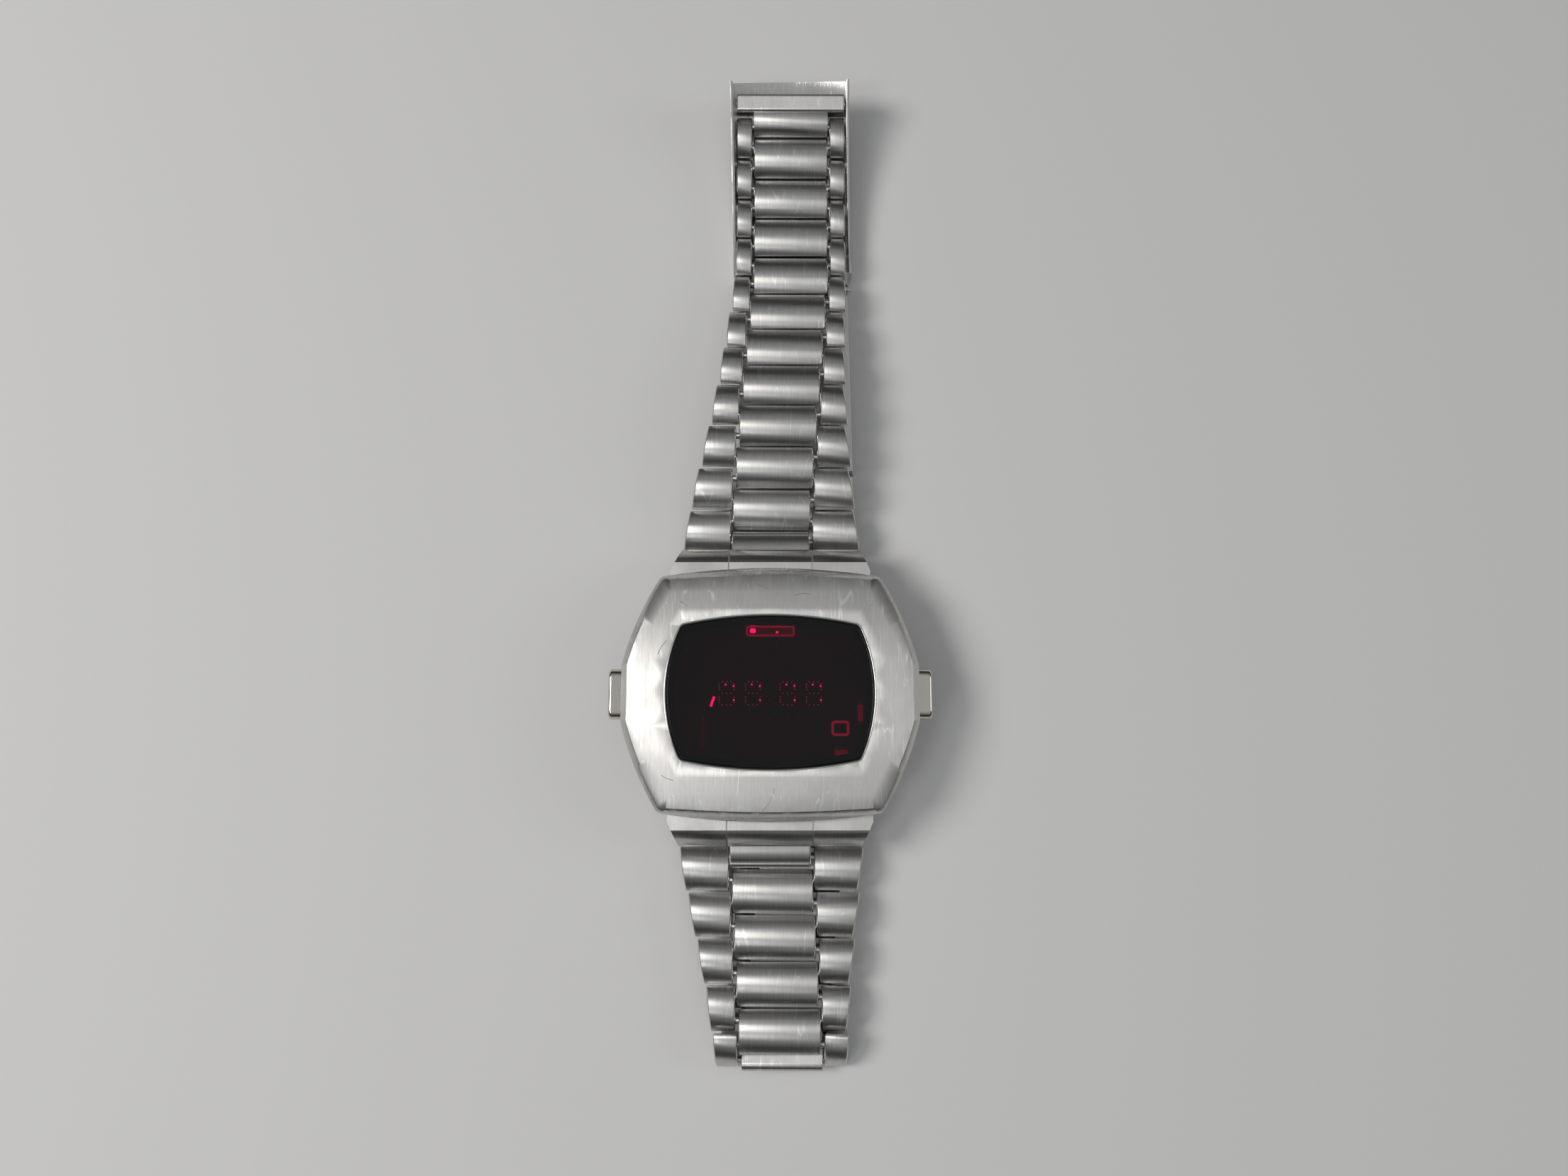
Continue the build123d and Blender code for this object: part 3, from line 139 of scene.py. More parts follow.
class Nodes:
    """Adds and links shader nodes in one tree."""

    def __init__(self, tree: bpy.types.NodeTree) -> None:
        """Keeps the tree.

        Args:
            tree: The node tree of a material, a world or a group.
        """
        self.tree = tree
        self.count = 0

    def add(self, kind: str, **values: object) -> bpy.types.Node:
        """Adds a node.

        Args:
            kind: The node's type name.
            values: Properties of the node to set.

        Returns:
            The new node.
        """
        node = self.tree.nodes.new(kind)
        node.location = (190 * (self.count % 9), -240 * (self.count // 9))
        self.count += 1
        for name, value in values.items():
            setattr(node, name, value)
        return node

    def feed(self, target: Socket, value: object) -> None:
        """Links a socket to an input, or sets a plain value on it.

        Args:
            target: The input.
            value: An output socket, or a number, colour or vector.
        """
        if isinstance(value, Socket):
            self.tree.links.new(value, target)
        else:
            target.default_value = value

    def fill(self, node: bpy.types.Node, values: dict[str, object]) -> None:
        """Feeds some of a node's inputs by name."""
        for name, value in values.items():
            self.feed(node.inputs[name], value)

    def maths(self, operation: str, first: object, second: object = 0.0) -> Socket:
        """Adds a Math node.

        Args:
            operation: The node's operation.
            first: Its first input.
            second: Its second input.

        Returns:
            Its output.
        """
        node = self.add("ShaderNodeMath", operation=operation)
        self.feed(node.inputs[0], first)
        self.feed(node.inputs[1], second)
        return node.outputs[0]

    def times(self, first: object, second: object) -> Socket:
        """Multiplies two numbers."""
        return self.maths("MULTIPLY", first, second)

    def plus(self, first: object, second: object) -> Socket:
        """Adds two numbers."""
        return self.maths("ADD", first, second)

    def spread(self, value: object, low: float, high: float, start: object = 0.0,
               end: object = 1.0) -> Socket:
        """Adds a Map Range node.

        Args:
            value: What is mapped.
            low: The value that becomes start.
            high: The value that becomes end.
            start: The result's start.
            end: The result's end.

        Returns:
            Its output.
        """
        node = self.add("ShaderNodeMapRange", clamp=True)
        self.fill(node, {"Value": value, "From Min": low, "From Max": high, "To Min": start,
                         "To Max": end})
        return node.outputs["Result"]

    def scaled(self, vector: Socket, scale: Sequence[float], turn: float = 0.0) -> Socket:
        """Adds a Mapping node.

        Args:
            vector: The coordinates.
            scale: Their scale.
            turn: Their turn about Z in degrees.

        Returns:
            The mapped coordinates.
        """
        node = self.add("ShaderNodeMapping")
        self.fill(node, {"Vector": vector, "Scale": tuple(scale), "Rotation": (0.0, 0.0, math.radians(turn))})
        return node.outputs["Vector"]

    def noise(self, vector: Socket, scale: float, detail: float = 2.0,
              rough: float = 0.5) -> Socket:
        """Adds a Noise Texture.

        Args:
            vector: Its coordinates.
            scale: Its scale.
            detail: Its layers.
            rough: How strong the fine layers are.

        Returns:
            Its value.
        """
        node = self.add("ShaderNodeTexNoise")
        self.fill(node, {"Vector": vector, "Scale": scale, "Detail": detail, "Roughness": rough})
        return node.outputs["Fac"]

    def mix(self, share: object, first: object, second: object, kind: str = "RGBA") -> Socket:
        """Mixes two colours or two numbers.

        Args:
            share: 0 gives the first, 1 the second.
            first: A colour or a number.
            second: A colour or a number.
            kind: RGBA for colours, FLOAT for numbers.

        Returns:
            The result.
        """
        node = self.add("ShaderNodeMix", data_type=kind)
        place = 6 if kind == "RGBA" else 2
        self.feed(node.inputs[0], share)
        self.feed(node.inputs[place], first)
        self.feed(node.inputs[place + 1], second)
        return node.outputs[2 if kind == "RGBA" else 0]

    def split(self, vector: Socket) -> list[Socket]:
        """Gives a vector's three numbers."""
        node = self.add("ShaderNodeSeparateXYZ")
        self.feed(node.inputs[0], vector)
        return list(node.outputs)

    def relief(self, height: Socket, strength: float, depth: float) -> Socket:
        """Adds a Bump node.

        Args:
            height: The relief.
            strength: Its strength.
            depth: Its depth in metres.

        Returns:
            The bumped normal.
        """
        node = self.add("ShaderNodeBump")
        self.fill(node, {"Strength": strength, "Distance": depth, "Height": height})
        return node.outputs["Normal"]


class Effects:
    """Shader node groups that more than one material uses, each built once.

    Grain layers are a scale, a turn in degrees and a share. Scratch layers are a turn in
    degrees, a size and a width.
    """

    GRAIN_STRETCH = (1.0, 0.055, 0.03)
    GRAIN_LAYERS = ((9000.0, 0.8, 0.5), (4200.0, -1.1, 0.32), (1500.0, 0.5, 0.18))
    STREAK_RANGE = (0.36, 0.64)
    PATCH_SCALE = 210.0
    SCRATCH_LAYERS = ((18.0, 1.0, 0.011), (-37.0, 1.6, 0.010), (66.0, 0.8, 0.012), (128.0, 1.3, 0.010))
    SCRATCH_STRETCH = (560, 62, 62)
    SCRATCH_GATE = (0.55, 0.66)
    FILM_STRETCH = (1.0, 0.6, 1.0)
    FILM_RANGE = (0.42, 0.74)
    FILM_SCALE = 330.0
    SPECK_SCALE = 1100.0
    SPECK_RANGE = (0.05, 0.12)
    SPECK_GATE = (0.62, 0.7)

    def __init__(self) -> None:
        """Starts with no group built."""
        self.groups: dict[str, bpy.types.NodeTree] = {}

    def start(self, name: str, inputs: Iterable[tuple[str, float | None]],
              outputs: Iterable[str]) -> tuple[Nodes, dict[str, Socket], bpy.types.Node]:
        """Makes an empty group with its sockets.

        Args:
            name: The group's name.
            inputs: The name and the value of each input; one with no value is a vector.
            outputs: The name of each output, a number from 0 to 1.

        Returns:
            The group's node helper, its input sockets by name and its output node.
        """
        tree = bpy.data.node_groups.new(name, "ShaderNodeTree")
        for label, value in inputs:
            kind = "NodeSocketVector" if value is None else "NodeSocketFloat"
            socket = tree.interface.new_socket(label, in_out="INPUT", socket_type=kind)
            if value is not None:
                socket.default_value = value
        for label in outputs:
            tree.interface.new_socket(label, in_out="OUTPUT", socket_type="NodeSocketFloat")
        self.groups[name] = tree
        nodes = Nodes(tree)
        source = nodes.add("NodeGroupInput")
        return nodes, {socket.name: socket for socket in source.outputs}, nodes.add("NodeGroupOutput")

    def grain(self) -> bpy.types.NodeTree:
        """The fine parallel lines that a brush leaves on steel.

        Returns:
            A group that puts out Streaks and the slower Patches.
        """
        name = "brushed grain"
        if name not in self.groups:
            nodes, given, result = self.start(name, [("Vector", None), ("Scale", 1.0)],
                                              ["Streaks", "Patches"])
            scale = nodes.add("ShaderNodeVectorMath", operation="SCALE")
            nodes.fill(scale, {name: given[name] for name in ("Vector", "Scale")})
            vector = scale.outputs[0]
            total = None
            for size, turn, share in self.GRAIN_LAYERS:
                stretched = nodes.scaled(vector, [size * part for part in self.GRAIN_STRETCH], turn)
                layer = nodes.times(nodes.noise(stretched, 1.0, 2.0, 0.6), share)
                total = layer if total is None else nodes.plus(total, layer)
            nodes.feed(result.inputs["Streaks"], nodes.spread(total, *self.STREAK_RANGE))
            patches = nodes.noise(vector, self.PATCH_SCALE, 3.0, 0.6)
            nodes.feed(result.inputs["Patches"], nodes.spread(patches, *MIDDLE_RANGE))
        return self.groups[name]

    def hairlines(self) -> bpy.types.NodeTree:
        """Thin curved scratches in a few directions, as wear leaves them.

        Returns:
            A group that puts out Lines.
        """
        name = "hairline scratches"
        if name not in self.groups:
            nodes, given, result = self.start(name, [("Vector", None), ("Amount", 0.5)], ["Lines"])
            vector = given["Vector"]
            total = None
            for turn, size, width in self.SCRATCH_LAYERS:
                stretched = nodes.scaled(vector, [part * size for part in self.SCRATCH_STRETCH], turn)
                ripple = nodes.noise(stretched, 1.0, 1.0, 0.4)
                crest = nodes.maths("ABSOLUTE", nodes.maths("SUBTRACT", ripple, 0.5))
                line = nodes.spread(crest, 0.0, width, 1.0, 0.0)
                gate = nodes.noise(nodes.scaled(vector, (1, 1, 1), turn + 9), 250.0 * size, 1.0)
                line = nodes.times(line, nodes.spread(gate, *self.SCRATCH_GATE))
                total = line if total is None else nodes.maths("MAXIMUM", total, line)
            nodes.feed(result.inputs["Lines"], nodes.times(total, given["Amount"]))
        return self.groups[name]

    def smudges(self) -> bpy.types.NodeTree:
        """Faint grease and dust that dull a surface in places.

        Returns:
            A group that puts out Film and Specks.
        """
        name = "smudges and dust"
        if name not in self.groups:
            nodes, given, result = self.start(name, [("Vector", None)], ["Film", "Specks"])
            vector = given["Vector"]
            film = nodes.noise(nodes.scaled(vector, self.FILM_STRETCH, 24.0), self.FILM_SCALE, 4.0, 0.65)
            nodes.feed(result.inputs["Film"], nodes.spread(film, *self.FILM_RANGE))
            cells = nodes.add("ShaderNodeTexVoronoi")
            nodes.fill(cells, {"Vector": vector, "Scale": self.SPECK_SCALE})
            gate = nodes.spread(nodes.noise(vector, 900.0, 1.0), *self.SPECK_GATE)
            specks = nodes.spread(cells.outputs["Distance"], *self.SPECK_RANGE, 1.0, 0.0)
            nodes.feed(result.inputs["Specks"], nodes.times(specks, gate))
        return self.groups[name]

    def place(self, nodes: Nodes, tree: bpy.types.NodeTree,
              **inputs: object) -> dict[str, Socket]:
        """Puts a group in a material.

        Args:
            nodes: The material's node helper.
            tree: The group.
            inputs: What its inputs get, by name.

        Returns:
            Its outputs by name.
        """
        node = nodes.add("ShaderNodeGroup")
        node.node_tree = tree
        nodes.fill(node, inputs)
        return {socket.name: socket for socket in node.outputs}


EFFECTS = Effects()


def start_material(name: str) -> tuple[bpy.types.Material, Nodes, bpy.types.Node]:
    """Makes a material with a Principled shader.

    Args:
        name: The material's name.

    Returns:
        The material, its node helper and its shader.
    """
    material = bpy.data.materials.new(name)
    material.use_nodes = True
    material.node_tree.nodes.clear()
    nodes = Nodes(material.node_tree)
    output = nodes.add("ShaderNodeOutputMaterial")
    shader = nodes.add("ShaderNodeBsdfPrincipled")
    nodes.feed(output.inputs["Surface"], shader.outputs["BSDF"])
    return material, nodes, shader


@dataclass(frozen=True)
class SteelFinish:
    """Stainless steel, brushed, polished or both."""

    name: str
    light: Colour = hue(0.63, 0.62, 0.60)
    dark: Colour = hue(0.54, 0.53, 0.515)
    mirror: Colour = hue(0.64, 0.63, 0.61)
    rough: float = 0.30
    mirror_rough: float = 0.11
    polish: Polish = Polish.SIDES
    level: float = 0.94
    level_blur: float = 0.03
    side_range: tuple[float, float] = (0.45, 0.6)
    grain_scale: float = 1.0
    wear: float = 0.5
    depth: float = 0.5
    spread_across: float = 0.0
    brushed_along: tuple[float, float, float] = (0.04, 1.0, 0.03)
    film: Colour = hue(0.46, 0.45, 0.43)
    scratch: Colour = hue(0.86, 0.86, 0.84)
    relief: float = 0.012 * MM
    film_share: float = 0.18
    scratch_share: float = 0.75
    rough_spread: tuple[float, float] = (-0.02, 0.07)
    streak_shine: float = 0.06
    film_rough: float = 0.1
    polished_relief: float = 0.06

    def build(self) -> bpy.types.Material:
        """Makes the material.

        Returns:
            The material.
        """
        material, nodes, shader = start_material(self.name)
        place = nodes.add("ShaderNodeTexCoord")
        vector = place.outputs["Object"]
        grain = EFFECTS.place(nodes, EFFECTS.grain(), Vector=vector, Scale=self.grain_scale)
        lines = EFFECTS.place(nodes, EFFECTS.hairlines(), Vector=vector, Amount=self.wear)["Lines"]
        marks = EFFECTS.place(nodes, EFFECTS.smudges(), Vector=vector)
        polished = self.mask(nodes, place)
        brushed = nodes.mix(grain["Streaks"], self.dark, self.light)
        base = nodes.mix(polished, brushed, self.mirror)
        base = nodes.mix(nodes.times(marks["Film"], self.film_share), base, self.film)
        base = nodes.mix(nodes.times(lines, self.scratch_share), base, self.scratch)
        low, high = (self.rough + change for change in self.rough_spread)
        patches = nodes.spread(grain["Patches"], 0.0, 1.0, low, high)
        matt = nodes.maths("SUBTRACT", patches, nodes.times(grain["Streaks"], self.streak_shine))
        shine = nodes.spread(marks["Film"], 0.0, 1.0, self.mirror_rough, self.mirror_rough + self.film_rough)
        rough = nodes.mix(polished, matt, shine, "FLOAT")
        nodes.fill(shader, {"Base Color": base, "Roughness": rough, "Metallic": 1.0})
        if self.spread_across:
            across = nodes.add("ShaderNodeVectorMath", operation="CROSS_PRODUCT")
            nodes.feed(across.inputs[0], place.outputs["Normal"])
            nodes.feed(across.inputs[1], self.brushed_along)
            nodes.fill(shader, {"Anisotropic": self.spread_across, "Tangent": across.outputs[0]})
        ridges = nodes.times(grain["Streaks"], nodes.spread(polished, 0.0, 1.0, 1.0, self.polished_relief))
        height = nodes.plus(nodes.maths("SUBTRACT", ridges, lines), marks["Specks"])
        nodes.feed(shader.inputs["Normal"], nodes.relief(height, self.depth, self.relief))
        return material

    def mask(self, nodes: Nodes, place: bpy.types.Node) -> object:
        """Says how polished each face is.

        Args:
            nodes: The material's node helper.
            place: Its texture coordinates.

        Returns:
            A socket or a number from 0 to 1.
        """
        if self.polish is Polish.NONE:
            return 0.0
        if self.polish is Polish.ALL:
            return 1.0
        across, _, up = nodes.split(place.outputs["Normal"])[:3]
        if self.polish is Polish.SIDES:
            return nodes.spread(nodes.maths("ABSOLUTE", across), *self.side_range)
        return nodes.spread(up, self.level - self.level_blur, self.level, 1.0, 0.0)


@dataclass(frozen=True)
class GlassFinish:
    """The dark red filter that covers the display."""

    name: str
    tint: Colour = hue(0.16, 0.0002, 0.018)
    film: Colour = hue(0.13, 0.0002, 0.014)
    rough: float = 0.012
    refraction: float = 1.38
    gloss: float = 0.1
    wear: float = 0.5
    film_share: float = 0.3
    film_rough: float = 0.03
    scratch_rough: float = 0.2
    depth: float = 0.12
    relief: float = 0.008 * MM

    def build(self) -> bpy.types.Material:
        """Makes the material.

        Returns:
            The material.
        """
        material, nodes, shader = start_material(self.name)
        vector = nodes.add("ShaderNodeTexCoord").outputs["Object"]
        marks = EFFECTS.place(nodes, EFFECTS.smudges(), Vector=vector)
        lines = EFFECTS.place(nodes, EFFECTS.hairlines(), Vector=vector, Amount=self.wear)["Lines"]
        film = nodes.spread(marks["Film"], 0.0, 1.0, self.rough, self.rough + self.film_rough)
        height = nodes.plus(lines, marks["Specks"])
        nodes.fill(shader, {
            "Base Color": nodes.mix(nodes.times(marks["Film"], self.film_share), self.tint, self.film),
            "Roughness": nodes.plus(film, nodes.times(lines, self.scratch_rough)),
            "Normal": nodes.relief(height, self.depth, self.relief),
            "Transmission Weight": 1.0,
            "IOR": self.refraction,
            "Specular IOR Level": self.gloss,
        })
        return material


@dataclass(frozen=True)
class CastFinish:
    """Plastic, rubber, ceramic, board or plating: a mottled colour with a fine relief, and on some a painted
    glow, an emission that stands in for light on a part which is no lamp.
    """

    name: str
    low: Colour
    high: Colour
    rough: float = 0.5
    metal: float = 0.0
    scale: float = 1500.0
    depth: float = 0.2
    above: float | None = None
    top: Colour = hue(0.5, 0.5, 0.5)
    # painted glow: an emission colour and strength that light a part which is no lamp
    painted_glow: Colour | None = None
    painted_glow_strength: float = 0.0
    relief: float = 0.02 * MM
    blur: float = 0.01 * MM
    rough_spread: tuple[float, float] = (-0.07, 0.05)
    film_rough: float = 0.06

    def build(self) -> bpy.types.Material:
        """Makes the material.

        Returns:
            The material.
        """
        material, nodes, shader = start_material(self.name)
        vector = nodes.add("ShaderNodeTexCoord").outputs["Object"]
        mottle = nodes.noise(vector, self.scale, 3.0, 0.6)
        marks = EFFECTS.place(nodes, EFFECTS.smudges(), Vector=vector)
        colour = nodes.mix(nodes.spread(mottle, *MIDDLE_RANGE), self.low, self.high)
        if self.above is not None:
            height = nodes.split(vector)[2]
            raised = nodes.spread(height, self.above - self.blur, self.above + self.blur)
            colour = nodes.mix(raised, colour, self.top)
        low, high = (self.rough + change for change in self.rough_spread)
        rough = nodes.spread(mottle, *MIDDLE_RANGE, low, high)
        height = nodes.plus(mottle, marks["Specks"])
        nodes.fill(shader, {
            "Base Color": colour,
            "Roughness": nodes.plus(rough, nodes.times(marks["Film"], self.film_rough)),
            "Metallic": self.metal,
            "Normal": nodes.relief(height, self.depth, self.relief),
        })
        # painted glow: the part gives off light though it is no lamp
        if self.painted_glow is not None:
            nodes.fill(shader, {"Emission Color": self.painted_glow, "Emission Strength": self.painted_glow_strength})
        return material


@dataclass(frozen=True)
class FloorFinish:
    """The plain pale ground."""

    name: str = "pale ground"
    colour: Colour = hue(0.74, 0.735, 0.725)
    shade: float = 0.985
    rough: float = 0.8

    def build(self) -> bpy.types.Material:
        """Makes the material.

        Returns:
            The material.
        """
        material, nodes, shader = start_material(self.name)
        mottle = nodes.noise(nodes.add("ShaderNodeTexCoord").outputs["Object"], 900.0, 2.0, 0.6)
        low = hue(*[part * self.shade for part in self.colour[:3]])
        nodes.fill(shader, {"Base Color": nodes.mix(mottle, low, self.colour), "Roughness": self.rough})
        return material


# Meshes


def stack(mesh: Mesh, rings: Sequence[Ring]) -> None:
    """Joins each ring of points to the next by quads.

    Args:
        mesh: The mesh that they are in.
        rings: The rings, all of one length.
    """
    for first, second in zip(rings, rings[1:]):
        for step in range(len(first)):
            after = (step + 1) % len(first)
            mesh.faces.new((first[step], first[after], second[after], second[step]))


def round_corners(half_x: float, half_y: float, radius: float, steps: int) -> list[Spot]:
    """Points round a rectangle with round corners.

    Args:
        half_x: Half its size along X.
        half_y: Half its size along Y.
        radius: The radius of its corners.
        steps: How many pieces each corner has.

    Returns:
        The points about its middle, anticlockwise from the right side.
    """
    spots = []
    for corner, (sx, sy) in enumerate(((1, 1), (-1, 1), (-1, -1), (1, -1))):
        for step in range(steps + 1):
            angle = math.pi / 2 * (corner + step / steps)
            spots.append((sx * (half_x - radius) + radius * math.cos(angle),
                          sy * (half_y - radius) + radius * math.sin(angle)))
    return spots


def bead(mesh: Mesh, path: Sequence[Vector], width: float, height: float, closed: bool,
         up: Vector = UP, sides: int = 8) -> None:
    """Adds a rounded bead along a path, its flat side down.

    Args:
        mesh: The mesh that it is added to.
        path: The middle of its foot.
        width: Its width.
        height: Its height.
        closed: Whether its ends meet.
        up: The way that it stands up.
        sides: How many faces its round has.
    """
    count = len(path)
    rings = []
    for index, point in enumerate(path):
        before = path[(index - 1) % count] if closed or index else point
        after = path[(index + 1) % count] if closed or index < count - 1 else point
        along = (after - before).normalized()
        side = along.cross(up).normalized()
        normal = side.cross(along).normalized()
        ring = []
        for step in range(sides + 1):
            angle = math.pi * step / sides
            across, rise = math.cos(angle) * width / 2, math.sin(angle) * height
            ring.append(mesh.verts.new(point + side * across + normal * rise))
        rings.append(ring)
    stack(mesh, rings + rings[:1] if closed else rings)
    if not closed:
        mesh.faces.new(rings[0])
        mesh.faces.new(list(reversed(rings[-1])))


def pad(mesh: Mesh, middle: Vector, width: float, length: float, height: float, edge: float,
        steps: int = 4) -> None:
    """Adds a low block with round corners and a softened top.

    Args:
        mesh: The mesh that it is added to.
        middle: The middle of its foot.
        width: Its size along X.
        length: Its size along Y.
        height: Its height.
        edge: The radius of its corners; its top is drawn in by a third of it.
        steps: How many pieces each corner has.
    """
    rings = []
    levels = ((0.0, 0.0), (height - edge / 3, 0.0), (height - edge / 9, edge / 9), (height, edge / 3))
    for level, inset in levels:
        spots = round_corners(width / 2 - inset, length / 2 - inset, max(edge - inset, edge / 4), steps)
        rings.append([mesh.verts.new(middle + Vector((x, y, level))) for x, y in spots])
    stack(mesh, rings)
    mesh.faces.new(rings[-1])
    mesh.faces.new(list(reversed(rings[0])))


def dome(mesh: Mesh, middle: Vector, radius: float, height: float, normal: Vector = UP,
         sides: int = 12, levels: int = 4) -> None:
    """Adds a low dome.

    Args:
        mesh: The mesh that it is added to.
        middle: The middle of its foot.
        radius: Its foot's radius.
        height: Its height.
        normal: The way that it points.
        sides: How many sides it has.
        levels: How many rings lead to its top.
    """
    turn = UP.rotation_difference(normal).to_matrix()
    rings = []
    for level in range(levels):
        angle = math.pi / 2 * level / levels
        rings.append([mesh.verts.new(middle + turn @ Vector((
            radius * math.cos(angle) * math.cos(math.tau * step / sides),
            radius * math.cos(angle) * math.sin(math.tau * step / sides),
            height * math.sin(angle)))) for step in range(sides)])
    top = mesh.verts.new(middle + turn @ Vector((0.0, 0.0, height)))
    stack(mesh, rings)
    for step in range(sides):
        mesh.faces.new((rings[-1][step], rings[-1][(step + 1) % sides], top))
    mesh.faces.new(list(reversed(rings[0])))


def wire(mesh: Mesh, path: Sequence[Vector], radius: float, sides: int = 6) -> None:
    """Adds a round wire along a path.

    Args:
        mesh: The mesh that it is added to.
        path: Its middle line.
        radius: Its radius.
        sides: How many sides it has.
    """
    rings = []
    for index, point in enumerate(path):
        along = (path[min(index + 1, len(path) - 1)] - path[max(index - 1, 0)]).normalized()
        side = along.cross(OFF_AXIS).normalized()
        up = side.cross(along)
        turns = [math.tau * step / sides for step in range(sides)]
        rings.append([mesh.verts.new(point + radius * (side * math.cos(turn) + up * math.sin(turn)))
                      for turn in turns])
    stack(mesh, rings)
    mesh.faces.new(rings[0])
    mesh.faces.new(list(reversed(rings[-1])))


def arc(middle: Spot, radius: float, start: float, end: float, steps: int) -> list[Spot]:
    """Points along an arc, without its last.

    Args:
        middle: The middle of its circle.
        radius: Its radius.
        start: The angle of its start.
        end: The angle of its end.
        steps: How many points it has.

    Returns:
        The points.
    """
    angles = [start + (end - start) * step / steps for step in range(steps)]
    return [(middle[0] + radius * math.cos(angle), middle[1] + radius * math.sin(angle)) for angle in angles]


def circle_through(first: Spot, second: Spot, third: Spot) -> tuple[Spot, float]:
    """Gives the circle through three points.

    Args:
        first: A point.
        second: A point.
        third: A point.

    Returns:
        Its middle and its radius.
    """
    (ax, ay), (bx, by), (cx, cy) = first, second, third
    d = 2 * (ax * (by - cy) + bx * (cy - ay) + cx * (ay - by))
    a, b, c = ax * ax + ay * ay, bx * bx + by * by, cx * cx + cy * cy
    x = (a * (by - cy) + b * (cy - ay) + c * (ay - by)) / d
    y = (a * (cx - bx) + b * (ax - cx) + c * (bx - ax)) / d
    return (x, y), math.hypot(ax - x, ay - y)


# The watch


class Watch:
    """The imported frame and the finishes, as every sub-assembly uses them."""

    def __init__(self) -> None:
        """Loads the frame."""
        self.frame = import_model()
        self.start_box = [list(corner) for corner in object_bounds()]
        self.finishes: dict[str, bpy.types.Material] = {}

    def add_finishes(self, finishes: Iterable[SteelFinish | GlassFinish | CastFinish]) -> None:
        """Builds finishes and keeps them by name."""
        for finish in finishes:
            self.finishes[finish.name] = finish.build()

    def dress(self, finish: str, *nodes: str, soften: float = 0.0) -> None:
        """Gives CAD nodes a finish, and breaks their edges.

        Args:
            finish: The finish's name.
            nodes: The nodes' names.
            soften: How wide their broken edges are, or 0 for none.
        """
        for name in nodes:
            node = self.frame["nodes"][name]
            node.data.materials.clear()
            node.data.materials.append(self.finishes[finish])
            if soften:
                weld = node.modifiers.new("weld", "WELD")
                weld.merge_threshold = WELD
                edge = node.modifiers.new("broken edges", "BEVEL")
                edge.width = soften
                edge.segments = 2
                edge.limit_method = "ANGLE"
                edge.angle_limit = EDGE_ANGLE
                edge.harden_normals = True
                edge.use_clamp_overlap = True
        LOG.info("%s on %s", finish, ", ".join(nodes))

    def piece(self, name: str, mesh: Mesh, finish: str, slot: str,
              body: str = "case") -> bpy.types.Object:
        """Makes a piece of a finished mesh, and lets it ride on a body.

        Args:
            name: The piece's name.
            mesh: Its mesh, which is used up.
            finish: Its finish's name.
            slot: The record's material slot of that kind; not used.
            body: The body that it rides on.

        Returns:
            The piece.
        """
        bmesh.ops.recalc_face_normals(mesh, faces=mesh.faces)
        data = bpy.data.meshes.new(name)
        mesh.to_mesh(data)
        mesh.free()
        data.materials.append(self.finishes[finish])
        data.shade_smooth()
        data.set_sharp_from_angle(angle=SHARP_ANGLE)
        piece = bpy.data.objects.new(name, data)
        bpy.context.scene.collection.objects.link(piece)
        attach(piece, body)
        LOG.info("piece %s on %s: %d faces", name, body, len(data.polygons))
        return piece

    def corners(self, node: str) -> tuple[Vector, Vector]:
        """The lowest and the highest corner of a CAD node's box."""
        low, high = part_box(node)
        return Vector(low), Vector(high)

    def top(self, node: str) -> float:
        """The height of a CAD node's top."""
        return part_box(node)[1][2]

    def joint(self, name: str) -> dict:
        """A joint of the record by name."""
        return next(joint for joint in self.frame["joints"] if joint["name"] == name)

    def pivot(self, name: str) -> tuple[Vector, Vector]:
        """The place of a joint and its axis, of length 1."""
        joint = self.joint(name)
        return Vector(joint["pos_m"]), Vector(joint["axis"]).normalized()

    def starting(self, *words: str) -> list[str]:
        """The nodes whose names start with one of the words."""
        return sorted(name for name in self.frame["nodes"] if name.startswith(words))


@dataclass
class PhotoCamera:
    """The photograph's camera, from a fit to the places of the watch's edges in it."""

    place: tuple[float, float, float] = (1.85 * MM, -12.51 * MM, 167.09 * MM)
    tilt: float = 9.64
    focal_pixels: float = 1658.0
    picture_width: int = 2212
    sensor: float = 36.0
    nearest: float = 0.005

    def build(self) -> None:
        """Makes the camera and sets it on the scene."""
        data = bpy.data.cameras.new("photo camera")
        data.sensor_fit = "HORIZONTAL"
        data.sensor_width = self.sensor
        data.lens = self.focal_pixels * self.sensor / self.picture_width
        data.clip_start = self.nearest
        camera = bpy.data.objects.new("photo camera", data)
        camera.location = self.place
        camera.rotation_euler = (math.radians(self.tilt), 0.0, 0.0)
        bpy.context.scene.collection.objects.link(camera)
        bpy.context.scene.camera = camera


@dataclass(frozen=True)
class Lamp:
    """A large soft box that faces the watch."""

    name: str
    place: tuple[float, float, float]
    size: float
    level: float
    colour: tuple[float, float, float]
    target: tuple[float, float, float] = (0.0, 0.01, 0.0)

    def build(self) -> None:
        """Makes the lamp, with its power from its brightness and its area."""
        data = bpy.data.lights.new(self.name, "AREA")
        data.shape = "DISK"
        data.size = self.size
        data.energy = self.level * math.pi * math.pi * self.size ** 2 / 4
        data.color = self.colour
        lamp = bpy.data.objects.new(self.name, data)
        lamp.location = self.place
        aim = Vector(self.target) - Vector(self.place)
        lamp.rotation_euler = aim.to_track_quat("-Z", "Y").to_euler()
        bpy.context.scene.collection.objects.link(lamp)


